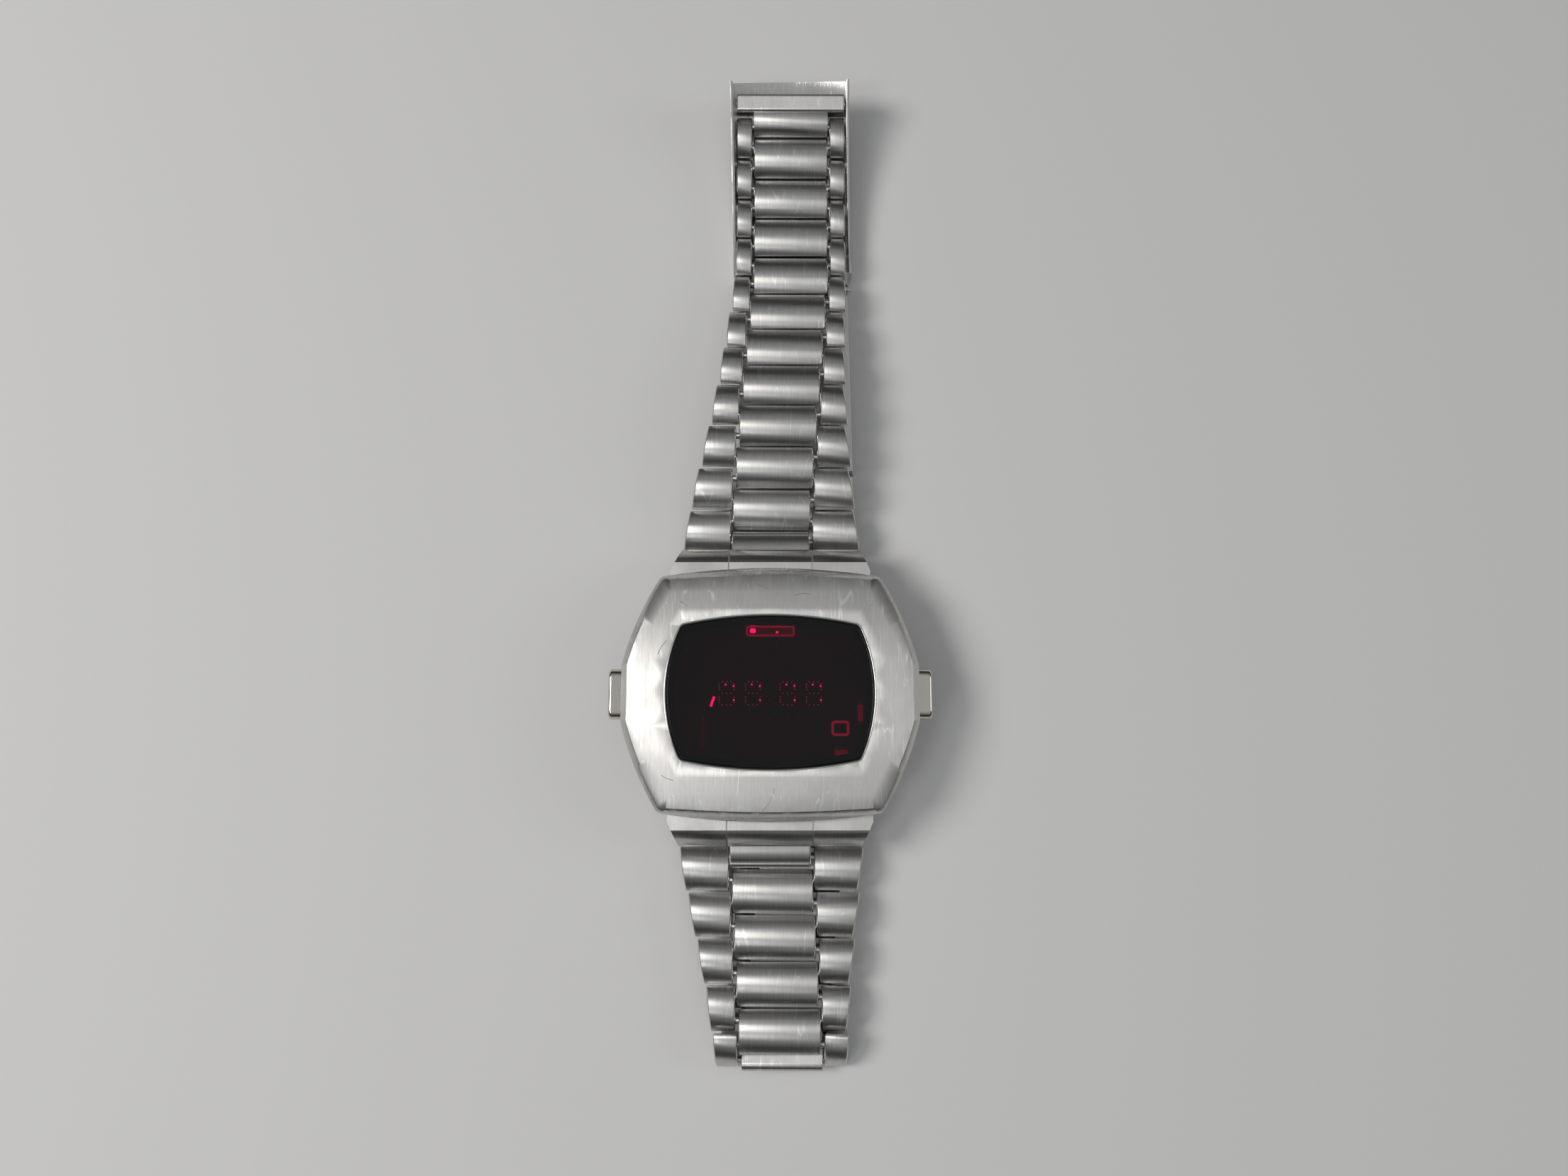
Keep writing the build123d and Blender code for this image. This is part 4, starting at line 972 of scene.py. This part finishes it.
@dataclass
class Studio:
    """A pale ground, soft lamps and a world that is brightest overhead."""

    half: float = 1.4
    drop: float = 0.02 * MM
    zenith: float = 0.46
    horizon: float = 0.035
    sky: Colour = hue(0.97, 0.985, 1.0)
    darkest_up: float = 0.45
    brightest_up: float = 0.97
    lamps: list[Lamp] = field(default_factory=lambda: [
        Lamp("key", (-0.50, 0.04, 0.55), 0.30, 11.0, (1.0, 0.985, 0.96)),
        Lamp("fill", (-0.36, -0.30, 0.62), 0.22, 4.5, (0.97, 0.985, 1.0)),
        Lamp("side", (0.70, 0.05, 0.40), 0.36, 2.0, (0.95, 0.975, 1.0)),
    ])

    def build(self) -> None:
        """Makes the ground, the lamps and the world."""
        mesh = bmesh.new()
        signs = ((-1, -1), (1, -1), (1, 1), (-1, 1))
        mesh.faces.new([mesh.verts.new((x * self.half, y * self.half, -self.drop)) for x, y in signs])
        data = bpy.data.meshes.new("ground")
        mesh.to_mesh(data)
        mesh.free()
        data.materials.append(FloorFinish().build())
        ground = bpy.data.objects.new("ground", data)
        bpy.context.scene.collection.objects.link(ground)
        ground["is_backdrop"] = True
        for lamp in self.lamps:
            lamp.build()
        self.build_world()

    def build_world(self) -> None:
        """Makes the world: a grey that is dark at the horizon and brighter overhead."""
        world = bpy.data.worlds.new("soft world")
        world.use_nodes = True
        world.node_tree.nodes.clear()
        nodes = Nodes(world.node_tree)
        output = nodes.add("ShaderNodeOutputWorld")
        background = nodes.add("ShaderNodeBackground")
        up = nodes.split(nodes.add("ShaderNodeTexCoord").outputs["Generated"])[2]
        level = nodes.maths("ABSOLUTE", up)
        share = nodes.spread(level, self.darkest_up, self.brightest_up, self.horizon, self.zenith)
        nodes.fill(background, {"Color": self.sky, "Strength": share})
        nodes.feed(output.inputs["Surface"], background.outputs[0])
        bpy.context.scene.world = world
        bpy.context.scene.view_settings.view_transform = "Standard"


@dataclass
class CrystalOutline:
    """The crystal's plan: four arcs that meet in round corners."""

    half_width: float = 13.8
    half_length: float = 10.098
    corner_x: float = 11.799
    corner_y: float = 8.846
    corner_radius: float = 0.9
    corner_across: float = 0.69
    corner_along: float = 0.875
    corner_steps: int = 8

    def points(self, grow: float, steps: int = 26) -> list[Spot]:
        """Points round the outline, grown all round.

        Args:
            grow: How far it is grown, in millimetres.
            steps: How many points each arc has.

        Returns:
            The points in millimetres, anticlockwise from the right side.
        """
        wide, long_ = self.half_width + grow, self.half_length + grow
        x, y = self.corner_x + grow * self.corner_across, self.corner_y + grow * self.corner_along
        side, side_radius = circle_through((x, -y), (wide, 0.0), (x, y))
        end, end_radius = circle_through((x, y), (0.0, long_), (-x, y))
        # the corner's round touches both arcs from inside
        reach_side, reach_end = side_radius - self.corner_radius, end_radius - self.corner_radius
        gap = math.hypot(end[0] - side[0], end[1] - side[1])
        lean = (reach_side ** 2 - reach_end ** 2 + gap ** 2) / (2 * gap)
        rise = math.sqrt(reach_side ** 2 - lean ** 2)
        ux, uy = (end[0] - side[0]) / gap, (end[1] - side[1]) / gap
        spots = [(side[0] + ux * lean - uy * rise * sign, side[1] + uy * lean + ux * rise * sign)
                 for sign in (1, -1)]
        corner = max(spots, key=sum)
        side_end = math.atan2(corner[1] - side[1], corner[0] - side[0])
        end_start = math.atan2(corner[1] - end[1], corner[0] - end[0])
        quarter = arc(side, side_radius, 0.0, side_end, steps)
        quarter += arc(corner, self.corner_radius, side_end, end_start, self.corner_steps)
        quarter += arc(end, end_radius, end_start, math.pi / 2, steps)
        top = (0.0, long_)
        half = quarter + [top] + [(-px, py) for px, py in reversed(quarter[1:])]
        return half + [(-wide, 0.0)] + [(px, -py) for px, py in reversed(half[1:])]


@dataclass
class Case:
    """The case with its back, end pieces, crystal and seals. Lengths are in millimetres."""

    dome_radius: float = 120.0
    crown_drop: float = 0.12
    rim_out: float = 0.2
    rim_width: float = 0.2
    rim_height: float = 0.08
    scratch_width: float = 0.055
    scratch_height: float = 0.036
    back_inset: float = 1.6
    back_radius: float = 4.4
    back_width: float = 0.5
    back_height: float = 0.1
    outline: CrystalOutline = field(default_factory=CrystalOutline)
    scratches: tuple[tuple[Spot, ...], ...] = (
        ((0.6, -12.6), (0.45, -13.3), (0.1, -14.0), (-0.25, -14.7), (-0.75, -15.3), (-1.4, -16.1)),
        ((-14.3, -10.9), (-13.6, -11.3), (-12.6, -11.6)),
        ((-2.1, 14.6), (-1.2, 14.1), (-0.2, 13.8)),
        ((3.1, 12.9), (4.3, 13.2), (5.4, 13.1)),
        ((-15.0, 5.0), (-14.5, 6.1), (-13.8, 6.9)),
        ((-12.1, 12.2), (-11.2, 11.6)),
    )

    def surface(self, watch: Watch, x: float, y: float) -> Vector:
        """A point of the dome.

        Args:
            watch: The watch.
            x: Its place in millimetres.
            y: Its place in millimetres.

        Returns:
            The point in metres.
        """
        crown = watch.top("crystal") / MM - self.crown_drop
        drop = self.dome_radius - math.sqrt(self.dome_radius ** 2 - x * x - y * y)
        return Vector((x, y, crown - drop)) * MM

    def build(self, watch: Watch) -> None:
        """Dresses these nodes and adds the rim, the scratches and the back's bead."""
        watch.dress("case steel", "case_shell", soften=0.09 * MM)
        watch.dress("back steel", "case_back", soften=0.1 * MM)
        watch.dress("end steel", "upper_end_piece", "lower_end_piece", soften=0.08 * MM)
        mesh = bmesh.new()
        path = [self.surface(watch, x, y) - UP * SUNK for x, y in self.outline.points(self.rim_out)]
        bead(mesh, path, self.rim_width * MM, self.rim_height * MM, closed=True)
        watch.piece("crystal_rim", mesh, "polished steel", "case_steel")
        mesh = bmesh.new()
        for line in self.scratches:
            path = [self.surface(watch, x, y) for x, y in self.smooth(line)]
            bead(mesh, path, self.scratch_width * MM, self.scratch_height * MM, closed=False, sides=4)
        watch.piece("deep_scratches", mesh, "polished steel", "case_steel")
        self.build_back(watch)
        watch.dress("red filter", "crystal")
        watch.dress("seal rubber", "crystal_gasket", "back_gasket")

    def smooth(self, line: Sequence[Spot]) -> list[Spot]:
        """Rounds a line by cutting its corners twice.

        Args:
            line: Its points.

        Returns:
            More points.
        """
        spots = list(line)
        for _ in range(2):
            cut = [spots[0]]
            for (ax, ay), (bx, by) in zip(spots, spots[1:]):
                cut += [(ax * near + bx * (1 - near), ay * near + by * (1 - near)) for near in (0.75, 0.25)]
            spots = cut + [spots[-1]]
        return spots

    def build_back(self, watch: Watch) -> None:
        """Adds the bead that runs round the case back."""
        low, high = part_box("case_back")
        inset = self.back_inset * MM
        spots = round_corners((high[0] - low[0]) / 2 - inset, (high[1] - low[1]) / 2 - inset,
                              self.back_radius * MM, steps=12)
        mesh = bmesh.new()
        bead(mesh, [Vector((x, y, low[2] + SUNK)) for x, y in spots], self.back_width * MM,
             self.back_height * MM, closed=True, up=-UP)
        watch.piece("back_bead", mesh, "polished steel", "case_steel")


@dataclass
class Module:
    """What lies beneath the filter: board, display, light sensor, chip and small parts.

    Lengths are in millimetres. A size pair is a width or a radius, and a height. A loose part is
    its name, the place of its middle, its width, its length and its height. A sensor cell is its
    place, its width, its length, its height and its corners' radius.
    """

    digits: int = 4
    digit_pitch: float = 3.5
    digit_width: float = 2.3
    digit_height: float = 3.4
    colon_gap: float = 1.1
    bar: float = 0.34
    dot: float = 0.085
    bar_dots: tuple[float, ...] = (-0.6, 0.0, 0.6)
    side_dots: tuple[float, ...] = (0.7, 0.5, 0.3, -0.3, -0.5, -0.7)
    dot_height: float = 0.05
    dot_sunk: float = 0.005
    bright_grow: float = 1.3
    bright_height: float = 0.06
    bright_rise: float = 0.02
    raised_depth: float = 0.06
    leads_height: float = 0.21
    wire_radius: float = 0.035
    wire_rise: float = 0.32
    wire_start: Spot = (0.35, 0.10)
    wire_out: float = 0.75
    wire_offsets: tuple[float, ...] = (-0.9, -0.3, 0.3, 0.9)
    wire_fan: float = 1.15
    ring_half: Spot = (1.02, 0.84)
    frame_inset: float = 0.16
    bright_dots: tuple[Spot, ...] = ((-0.15, 1.15), (0.95, -0.9), (0.9, 0.95))
    clip: tuple[Spot, ...] = ((-7.9, -1.75), (-7.7, -1.1), (-7.45, -0.45))
    clip_down: float = 0.13
    clip_size: Spot = (0.3, 0.16)
    edge_tracks: float = 11.6
    track_size: Spot = (0.16, 0.03)
    pad_size: Spot = (0.21, 0.05)
    solder_size: Spot = (0.3, 0.2)
    routes: tuple[tuple[Spot, ...], ...] = (
        ((-12.4, 8.2), (-6.0, 8.2), (-4.6, 7.2)), ((12.4, 8.2), (6.0, 8.2), (4.6, 7.2)),
        ((-12.4, 7.4), (-8.0, 7.4), (-7.0, 6.4)), ((12.4, 7.4), (8.0, 7.4), (7.0, 6.4)),
        ((-8.6, -7.9), (-8.6, -9.0), (-3.4, -9.0)), ((9.3, -5.7), (9.3, -6.9)),
    )
    solder: tuple[Spot, ...] = ((-6.9, 5.1), (-11.3, 6.0), (11.5, 6.1), (-10.7, -8.2),
                                (11.4, -8.0), (0.9, 6.3), (6.8, -5.2), (-5.6, -8.3))
    loose_parts: tuple[tuple[str, float, float, float, float, float], ...] = (
        ("resistor_bar", 12.0, -2.6, 0.7, 3.3, 0.55),
        ("lower_block", 9.4, -8.1, 1.7, 1.8, 0.7),
    )
    part_corner: float = 0.12
    part_share: float = 0.94
    end_place: float = 0.42
    end_share: float = 0.18
    end_grow: Spot = (0.06, 0.04)
    end_corner: float = 0.08
    sensor_cells: tuple[tuple[float, ...], ...] = (
        (-2.35, 0.05, 0.75, 0.6, 0.1, 0.18),
        (0.9, -0.15, 0.3, 0.26, 0.08, 0.08),
    )
    dressing: tuple[tuple[str, str], ...] = (
        ("display block", "led_display"), ("chip body", "controller_chip"),
        ("circuit board", "circuit_board"), ("module plastic", "module_frame"),
        ("sensor glass", "light_sensor"), ("dark can", "quartz_crystal"),
        ("bright can", "button_cells"), ("dim ceramic", "trimmer_capacitor"),
        ("contact brass", "battery_contact"),
    )

    def build(self, watch: Watch) -> None:
        """Dresses the movement's nodes and adds its fine parts."""
        raised = watch.top("led_display") - self.raised_depth * MM
        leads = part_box("controller_chip")[0][2] + self.leads_height * MM
        watch.add_finishes((
            CastFinish("display block", hue(0.020, 0.010, 0.010), hue(0.05, 0.022, 0.022), rough=0.28,
                       scale=900.0, above=raised, top=hue(0.16, 0.07, 0.065)),
            CastFinish("chip body", hue(0.62, 0.50, 0.30), hue(0.72, 0.60, 0.38), rough=0.32,
                       scale=2500.0, above=leads, top=hue(0.05, 0.045, 0.045)),
        ))
        for finish, node in self.dressing:
            watch.dress(finish, node)
        self.build_display(watch)
        self.build_board(watch)
        self.build_sensor(watch)
        self.build_loose_parts(watch)
        self.build_frame(watch, "trimmer_ring", "trimmer_capacitor", "trimmer", self.ring_half, 0.3,
                         (0.34, 0.1))

    def build_frame(self, watch: Watch, name: str, node: str, slot: str, half: Spot, radius: float,
                    bead_size: Spot) -> None:
        """Adds a frame on a node's top.

        Args:
            watch: The watch.
            name: The frame's name.
            node: The node that it lies on.
            slot: Its material slot.
            half: Half its size along X and Y, to the middle of its bead.
            radius: The radius of its corners.
            bead_size: Its bead's width and height.
        """
        low, high = watch.corners(node)
        middle = (low + high) / 2
        spots = round_corners(half[0] * MM, half[1] * MM, radius * MM, steps=6)
        mesh = bmesh.new()
        bead(mesh, [Vector((middle.x + x, middle.y + y, high.z - SUNK)) for x, y in spots],
             bead_size[0] * MM, bead_size[1] * MM, closed=True)
        # the trimmer ceramic finish carries a painted glow
        watch.piece(name, mesh, "trimmer ceramic", slot)

    def digit_places(self) -> list[float]:
        """The middle of each digit across the display, in millimetres."""
        steps = [index - (self.digits - 1) / 2 for index in range(self.digits)]
        return [step * self.digit_pitch + math.copysign(self.colon_gap / 2, step) for step in steps]

    def build_display(self, watch: Watch) -> None:
        """Adds the light chips of every bar, the thin wires that feed the digits and a clip."""
        high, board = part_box("led_display")[1], watch.top("circuit_board")
        dots, bright, wires, clip = bmesh.new(), bmesh.new(), bmesh.new(), bmesh.new()
        across, down = (self.digit_width - self.bar) / 2, self.digit_height / 2
        spots = [(offset, level) for level in (down - self.bar / 2, 0.0, self.bar / 2 - down)
                 for offset in (across * share for share in self.bar_dots)]
        spots += [(side * across, down * share) for side in (-1, 1) for share in self.side_dots]
        for middle in self.digit_places():
            for x, y in spots:
                dome(dots, Vector(((middle + x) * MM, y * MM, high[2] - self.dot_sunk * MM)), self.dot * MM,
                     self.dot_height * MM, sides=8, levels=3)
            # three larger chips of each digit take the sensor rim finish's strong painted glow: painted
            # highlights
            for x, y in self.bright_dots:
                dome(bright, Vector(((middle + x) * MM, y * MM, high[2] + self.bright_rise * MM)),
                     self.dot * self.bright_grow * MM, self.bright_height * MM, sides=8, levels=3)
            for offset in self.wire_offsets:
                for side in (-1, 1):
                    start = Vector(((middle + offset) * MM, side * (high[1] - self.wire_start[0] * MM),
                                    high[2] - self.wire_start[1] * MM))
                    end = Vector(((middle + offset * self.wire_fan) * MM,
                                  side * (high[1] + self.wire_out * MM), board))
                    wire(wires, self.loop(start, end), self.wire_radius * MM)
        # the light chips carry a faint painted glow and the bright chips a strong painted glow
        watch.piece("light_chips", dots, "light chip", "display")
        watch.piece("bright_chips", bright, "sensor rim", "display")
        watch.piece("bond_wires", wires, "dull tracks", "contact_brass")
        path = [Vector((x * MM, y * MM, high[2] - self.clip_down * MM)) for x, y in self.clip]
        bead(clip, path, *(size * MM for size in self.clip_size), closed=False)
        # the clip takes the sensor rim finish's strong painted glow
        watch.piece("display_clip", clip, "sensor rim", "bright_can")

    def loop(self, start: Vector, end: Vector) -> list[Vector]:
        """The middle line of a bond wire, which rises most beside the display.

        Args:
            start: Its end on the display.
            end: Its end on the board.

        Returns:
            Nine points.
        """
        path = []
        for step in range(9):
            share = step / 8
            point = start.lerp(end, share)
            point.z += self.wire_rise * MM * math.sin(math.pi * share) * (1 - 0.3 * share)
            path.append(point)
        return path

    def digit_routes(self) -> list[tuple[Spot, ...]]:
        """The tracks that lead from the digits' wires over the board.

        Returns:
            The tracks, each as its points in millimetres.
        """
        routes: list[tuple[Spot, ...]] = []
        for index, middle in enumerate(self.digit_places()):
            for place, offset in enumerate(self.wire_offsets):
                x = middle + offset * self.wire_fan
                far = x + 0.5 - index * 0.35
                routes.append(((x, 3.1), (x, 4.0 + 0.25 * place), (far, 4.9 + 0.25 * place), (far, 6.6)))
                if index in (0, self.digits - 1):
                    edge = math.copysign(self.edge_tracks, middle)
                    routes.append(((x, -3.05), (x, -3.3 - 0.16 * place),
                                   (edge, -4.2 - 0.5 * place), (edge, -7.6)))
        return routes

    def build_board(self, watch: Watch) -> None:
        """Adds the board's tracks, its pads and its solder spots."""
        foot = watch.top("circuit_board") - TRACK_SUNK
        tracks, solder = bmesh.new(), bmesh.new()
        routes = self.digit_routes() + list(self.routes)
        for route in routes:
            bead(tracks, [Vector((x * MM, y * MM, foot)) for x, y in route],
                 *(size * MM for size in self.track_size), closed=False, sides=3)
        for route in routes:
            for x, y in (route[0], route[-1]):
                dome(tracks, Vector((x * MM, y * MM, foot)), *(size * MM for size in self.pad_size),
                     sides=10, levels=3)
        watch.piece("board_tracks", tracks, "dull tracks", "contact_brass")
        for x, y in self.solder:
            dome(solder, Vector((x * MM, y * MM, foot)), *(size * MM for size in self.solder_size), sides=14)
        watch.piece("solder_spots", solder, "bright can", "bright_can")

    def build_sensor(self, watch: Watch) -> None:
        """Adds the frame round the light sensor's window and the two cells in it."""
        low, high = watch.corners("light_sensor")
        half = tuple((most - least) / 2 / MM - self.frame_inset for least, most in zip(low[:2], high[:2]))
        self.build_frame(watch, "sensor_frame", "light_sensor", "sensor", half, 0.25, (0.22, 0.12))
        middle_y, foot = (low.y + high.y) / 2, high.z - SUNK
        cell = bmesh.new()
        for x, y, *sizes in self.sensor_cells:
            pad(cell, Vector((x * MM, middle_y + y * MM, foot)), *(size * MM for size in sizes))
        # the cells take the sensor rim finish's strong painted glow, a painted hot spot in the sensor's
        # window
        watch.piece("sensor_cells", cell, "sensor rim", "sensor")

    def build_loose_parts(self, watch: Watch) -> None:
        """Adds the small ceramic parts on the board, each with plated ends."""
        foot = watch.top("circuit_board") - SUNK
        for name, x, y, width, length, height in self.loose_parts:
            block, ends = bmesh.new(), bmesh.new()
            pad(block, Vector((x * MM, y * MM, foot)), width * MM, length * MM * self.part_share,
                height * MM, self.part_corner * MM)
            # the dull ceramic finish carries a faint painted glow
            watch.piece(name, block, "dull ceramic", "trimmer")
            for side in (-1, 1):
                pad(ends, Vector((x * MM, (y + side * length * self.end_place) * MM, foot)),
                    (width + self.end_grow[0]) * MM, length * self.end_share * MM,
                    (height + self.end_grow[1]) * MM, self.end_corner * MM)
            watch.piece(f"{name}_ends", ends, "bright can", "bright_can")


@dataclass
class Buttons:
    """The two side buttons and their springs. Lengths are in millimetres."""

    line_inset: float = 0.95
    line_depth: float = 0.035
    line_width: float = 0.14
    line_height: float = 0.03
    spring_wire: float = 0.18
    spring_radius: float = 1.08
    spring_turns: int = 3
    turn_steps: int = 24

    def build(self, watch: Watch) -> None:
        """Dresses the buttons and adds their springs and the fine line round each face."""
        names = ((-1, "left_button"), (1, "right_button"))
        watch.dress("button steel", "left_button", "right_button", soften=0.05 * MM)
        for side, name in names:
            self.build_spring(watch, side, name)
        for side, name in names:
            low, high = watch.corners(name)
            face = (low.x if side < 0 else high.x) - side * self.line_depth * MM
            half_y = (high.y - low.y) / 2 - self.line_inset * MM
            radius = (high.z - low.z) / 2 - self.line_inset * MM
            middle_z = (high.z + low.z) / 2
            path = []
            for end in (1, -1):
                for step in range(13):
                    angle = math.pi * step / 12 + (0 if end > 0 else math.pi)
                    path.append(Vector((face, end * (half_y - radius) + radius * math.sin(angle),
                                        middle_z + radius * math.cos(angle))))
            mesh = bmesh.new()
            bead(mesh, path, self.line_width * MM, self.line_height * MM, closed=True,
                 up=Vector((side, 0, 0)), sides=4)
            watch.piece(f"{name}_line", mesh, "polished steel", "case_steel", body=name)

    def build_spring(self, watch: Watch, side: int, name: str) -> None:
        """Adds a button's return spring as a fixed coil; the real spring shortens as the button goes in, this
        one does not.

        Args:
            watch: The watch.
            side: -1 at 9 o'clock, 1 at 3 o'clock.
            name: The button's node.
        """
        node = f"{name}_spring"
        watch.dress("spring steel", node)
        low, high = watch.corners(node)
        inner, outer = (high.x, low.x) if side < 0 else (low.x, high.x)
        middle = (low + high) / 2
        half_wire, radius = self.spring_wire / 2 * MM, self.spring_radius * MM
        steps = self.spring_turns * self.turn_steps
        path = []
        for step in range(steps + 1):
            angle = math.tau * self.spring_turns * step / steps
            run = inner + side * half_wire + (outer - inner - side * 2 * half_wire) * step / steps
            path.append(Vector((run, middle.y + radius * math.cos(angle),
                                middle.z + radius * math.sin(angle))))
        mesh = bmesh.new()
        wire(mesh, path, half_wire, sides=8)
        spring = watch.piece(f"{name}_coil", mesh, "spring steel", "spring_steel")
        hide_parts(node)
        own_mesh(spring)


@dataclass
class Bracelet:
    """All links of both runs and the tee at the upper run's end."""

    def build(self, watch: Watch) -> None:
        """Dresses the links."""
        links = watch.starting("upper_side", "upper_centre", "lower_side", "lower_centre", "hidden_links")
        watch.dress("link steel", *links, soften=0.05 * MM)
        watch.dress("tee steel", "bracelet_tee", soften=0.1 * MM)


@dataclass
class Clasp:
    """The folding clasp: its cover, its two blades and its hinge pins. Lengths are in millimetres."""

    ridge_across: float = 6.2
    ridge_width: float = 0.35
    ridge_height: float = 0.12
    ridge_start: float = 2.2
    ridge_short: float = 2.8
    ridge_steps: int = 33
    head_radius: float = 0.33
    head_height: float = 0.09
    head_reach: float = 8.2

    def build(self, watch: Watch) -> None:
        """Dresses the clasp and adds its ridges and pin heads."""
        watch.dress("clasp sheet", "clasp_cover", "clasp_short_blade", "clasp_long_blade", soften=0.05 * MM)
        self.build_heads(watch)
        self.build_ridges(watch)

    def build_heads(self, watch: Watch) -> None:
        """Adds a low dome at each end of both hinge pins."""
        for joint_name, body in (("fold_hinge", "clasp_long_blade"), ("cover_hinge", "clasp_cover")):
            middle, axis = watch.pivot(joint_name)
            mesh = bmesh.new()
            for side in (-1, 1):
                dome(mesh, middle + axis * (side * (self.head_reach * MM - SUNK)), self.head_radius * MM,
                     self.head_height * MM, axis * side, sides=16)
            watch.piece(f"{joint_name}_heads", mesh, "polished steel", "spring_steel", body=body)

    def build_ridges(self, watch: Watch) -> None:
        """Adds the two pressed ridges that run along the cover's floor."""
        hinge, axis = watch.pivot("cover_hinge")
        if axis.x < 0:
            axis = -axis
        along = Vector((-axis.y, axis.x, 0.0))
        curve = CoverCurve()
        mesh = bmesh.new()
        for side in (-1, 1):
            path = []
            for step in range(self.ridge_steps + 1):
                run = self.ridge_start + (curve.reach - self.ridge_short) * step / self.ridge_steps
                base = hinge + axis * (side * self.ridge_across * MM) + along * (run * MM)
                path.append(Vector((base.x, base.y, curve.floor(run) * MM - SUNK)))
            bead(mesh, path, self.ridge_width * MM, self.ridge_height * MM, closed=False)
        watch.piece("cover_ridges", mesh, "clasp sheet", "clasp_steel", body="clasp_cover")


@dataclass
class CoverCurve:
    """The side view of the cover's floor: a flat by its hinge, then an arc that rises."""

    flat: float = 3.0
    radius: float = 61.9
    sheet: float = 0.4
    reach: float = 30.4

    def floor(self, run: float) -> float:
        """The height of the floor's upper face at a run from the hinge.

        Args:
            run: The run in millimetres.

        Returns:
            The height in millimetres.
        """
        if run <= self.flat:
            return self.sheet
        turn = math.asin((run - self.flat) / self.radius)
        return self.radius - (self.radius - self.sheet) * math.cos(turn)


STEELS = (
    SteelFinish("link steel", rough=0.38, wear=1.0, depth=0.3, spread_across=0.84),
    SteelFinish("tee steel", rough=0.40, polish=Polish.NONE, wear=0.6, spread_across=0.86),
    SteelFinish("case steel", rough=0.44, mirror_rough=0.24, polish=Polish.SLOPES, level=0.8, wear=1.0,
                depth=0.22, spread_across=0.8),
    SteelFinish("end steel", rough=0.34, polish=Polish.SIDES, wear=0.4, depth=0.15, spread_across=0.8),
    SteelFinish("polished steel", polish=Polish.ALL, wear=0.2, depth=0.1),
    SteelFinish("button steel", mirror=hue(0.66, 0.63, 0.57), mirror_rough=0.15, polish=Polish.ALL, wear=0.5),
    SteelFinish("clasp sheet", rough=0.24, wear=0.6, grain_scale=0.9),
    SteelFinish("back steel", rough=0.32, polish=Polish.NONE, wear=0.7),
    SteelFinish("spring steel", mirror_rough=0.2, polish=Polish.ALL, wear=0.0),
    SteelFinish("dark can", mirror=hue(0.16, 0.15, 0.14), mirror_rough=0.3, polish=Polish.ALL, wear=0.2),
    SteelFinish("bright can", mirror=hue(0.72, 0.71, 0.69), mirror_rough=0.2, polish=Polish.ALL, wear=0.2),
)

CASTS = (
    CastFinish("seal rubber", hue(0.018, 0.018, 0.018), hue(0.035, 0.035, 0.035), rough=0.6),
    CastFinish("module plastic", hue(0.012, 0.012, 0.013), hue(0.03, 0.03, 0.032), rough=0.42),
    CastFinish("circuit board", hue(0.006, 0.005, 0.005), hue(0.018, 0.012, 0.010), rough=0.34, scale=500.0),
    # painted glow on the parts under the red filter: the display is off, so this emission stands in for the
    # light that reaches them
    CastFinish("sensor glass", hue(0.16, 0.08, 0.08), hue(0.34, 0.20, 0.18), rough=0.14, scale=700.0,
               painted_glow=hue(0.9, 0.02, 0.4), painted_glow_strength=0.15),
    CastFinish("light chip", hue(0.80, 0.66, 0.60), hue(0.95, 0.85, 0.80), rough=0.18, scale=2000.0,
               painted_glow=hue(0.9, 0.03, 0.7), painted_glow_strength=1.5),
    # sensor rim: the strongest painted glow, painted highlights on the bright chips, the display clip and the
    # sensor cells
    CastFinish("sensor rim", hue(0.80, 0.66, 0.60), hue(0.95, 0.85, 0.80), rough=0.18, scale=2000.0,
               painted_glow=hue(1.0, 0.03, 1.0), painted_glow_strength=9.0),
    CastFinish("trimmer ceramic", hue(0.30, 0.16, 0.12), hue(0.42, 0.24, 0.18), rough=0.3,
               painted_glow=hue(0.9, 0.02, 0.7), painted_glow_strength=1.1),
    CastFinish("dull ceramic", hue(0.16, 0.08, 0.06), hue(0.24, 0.12, 0.09), rough=0.3,
               painted_glow=hue(0.9, 0.02, 0.6), painted_glow_strength=0.4),
    CastFinish("dim ceramic", hue(0.10, 0.04, 0.03), hue(0.14, 0.06, 0.05), rough=0.3),
    CastFinish("dull tracks", hue(0.05, 0.03, 0.02), hue(0.10, 0.06, 0.03), rough=0.4),
    CastFinish("contact brass", hue(0.60, 0.45, 0.20), hue(0.74, 0.60, 0.32), rough=0.28, metal=1.0),
)


def main() -> None:
    """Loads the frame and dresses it."""
    logging.basicConfig(level=logging.INFO, format="%(name)s: %(message)s")
    watch = Watch()
    PhotoCamera().build()
    Studio().build()
    watch.add_finishes(STEELS + CASTS + (GlassFinish("red filter"),))
    for part in (Case(), Module(), Buttons(), Bracelet(), Clasp()):
        part.build(watch)
        LOG.info("%s done", type(part).__name__)


if __name__ == "__main__":
    main()
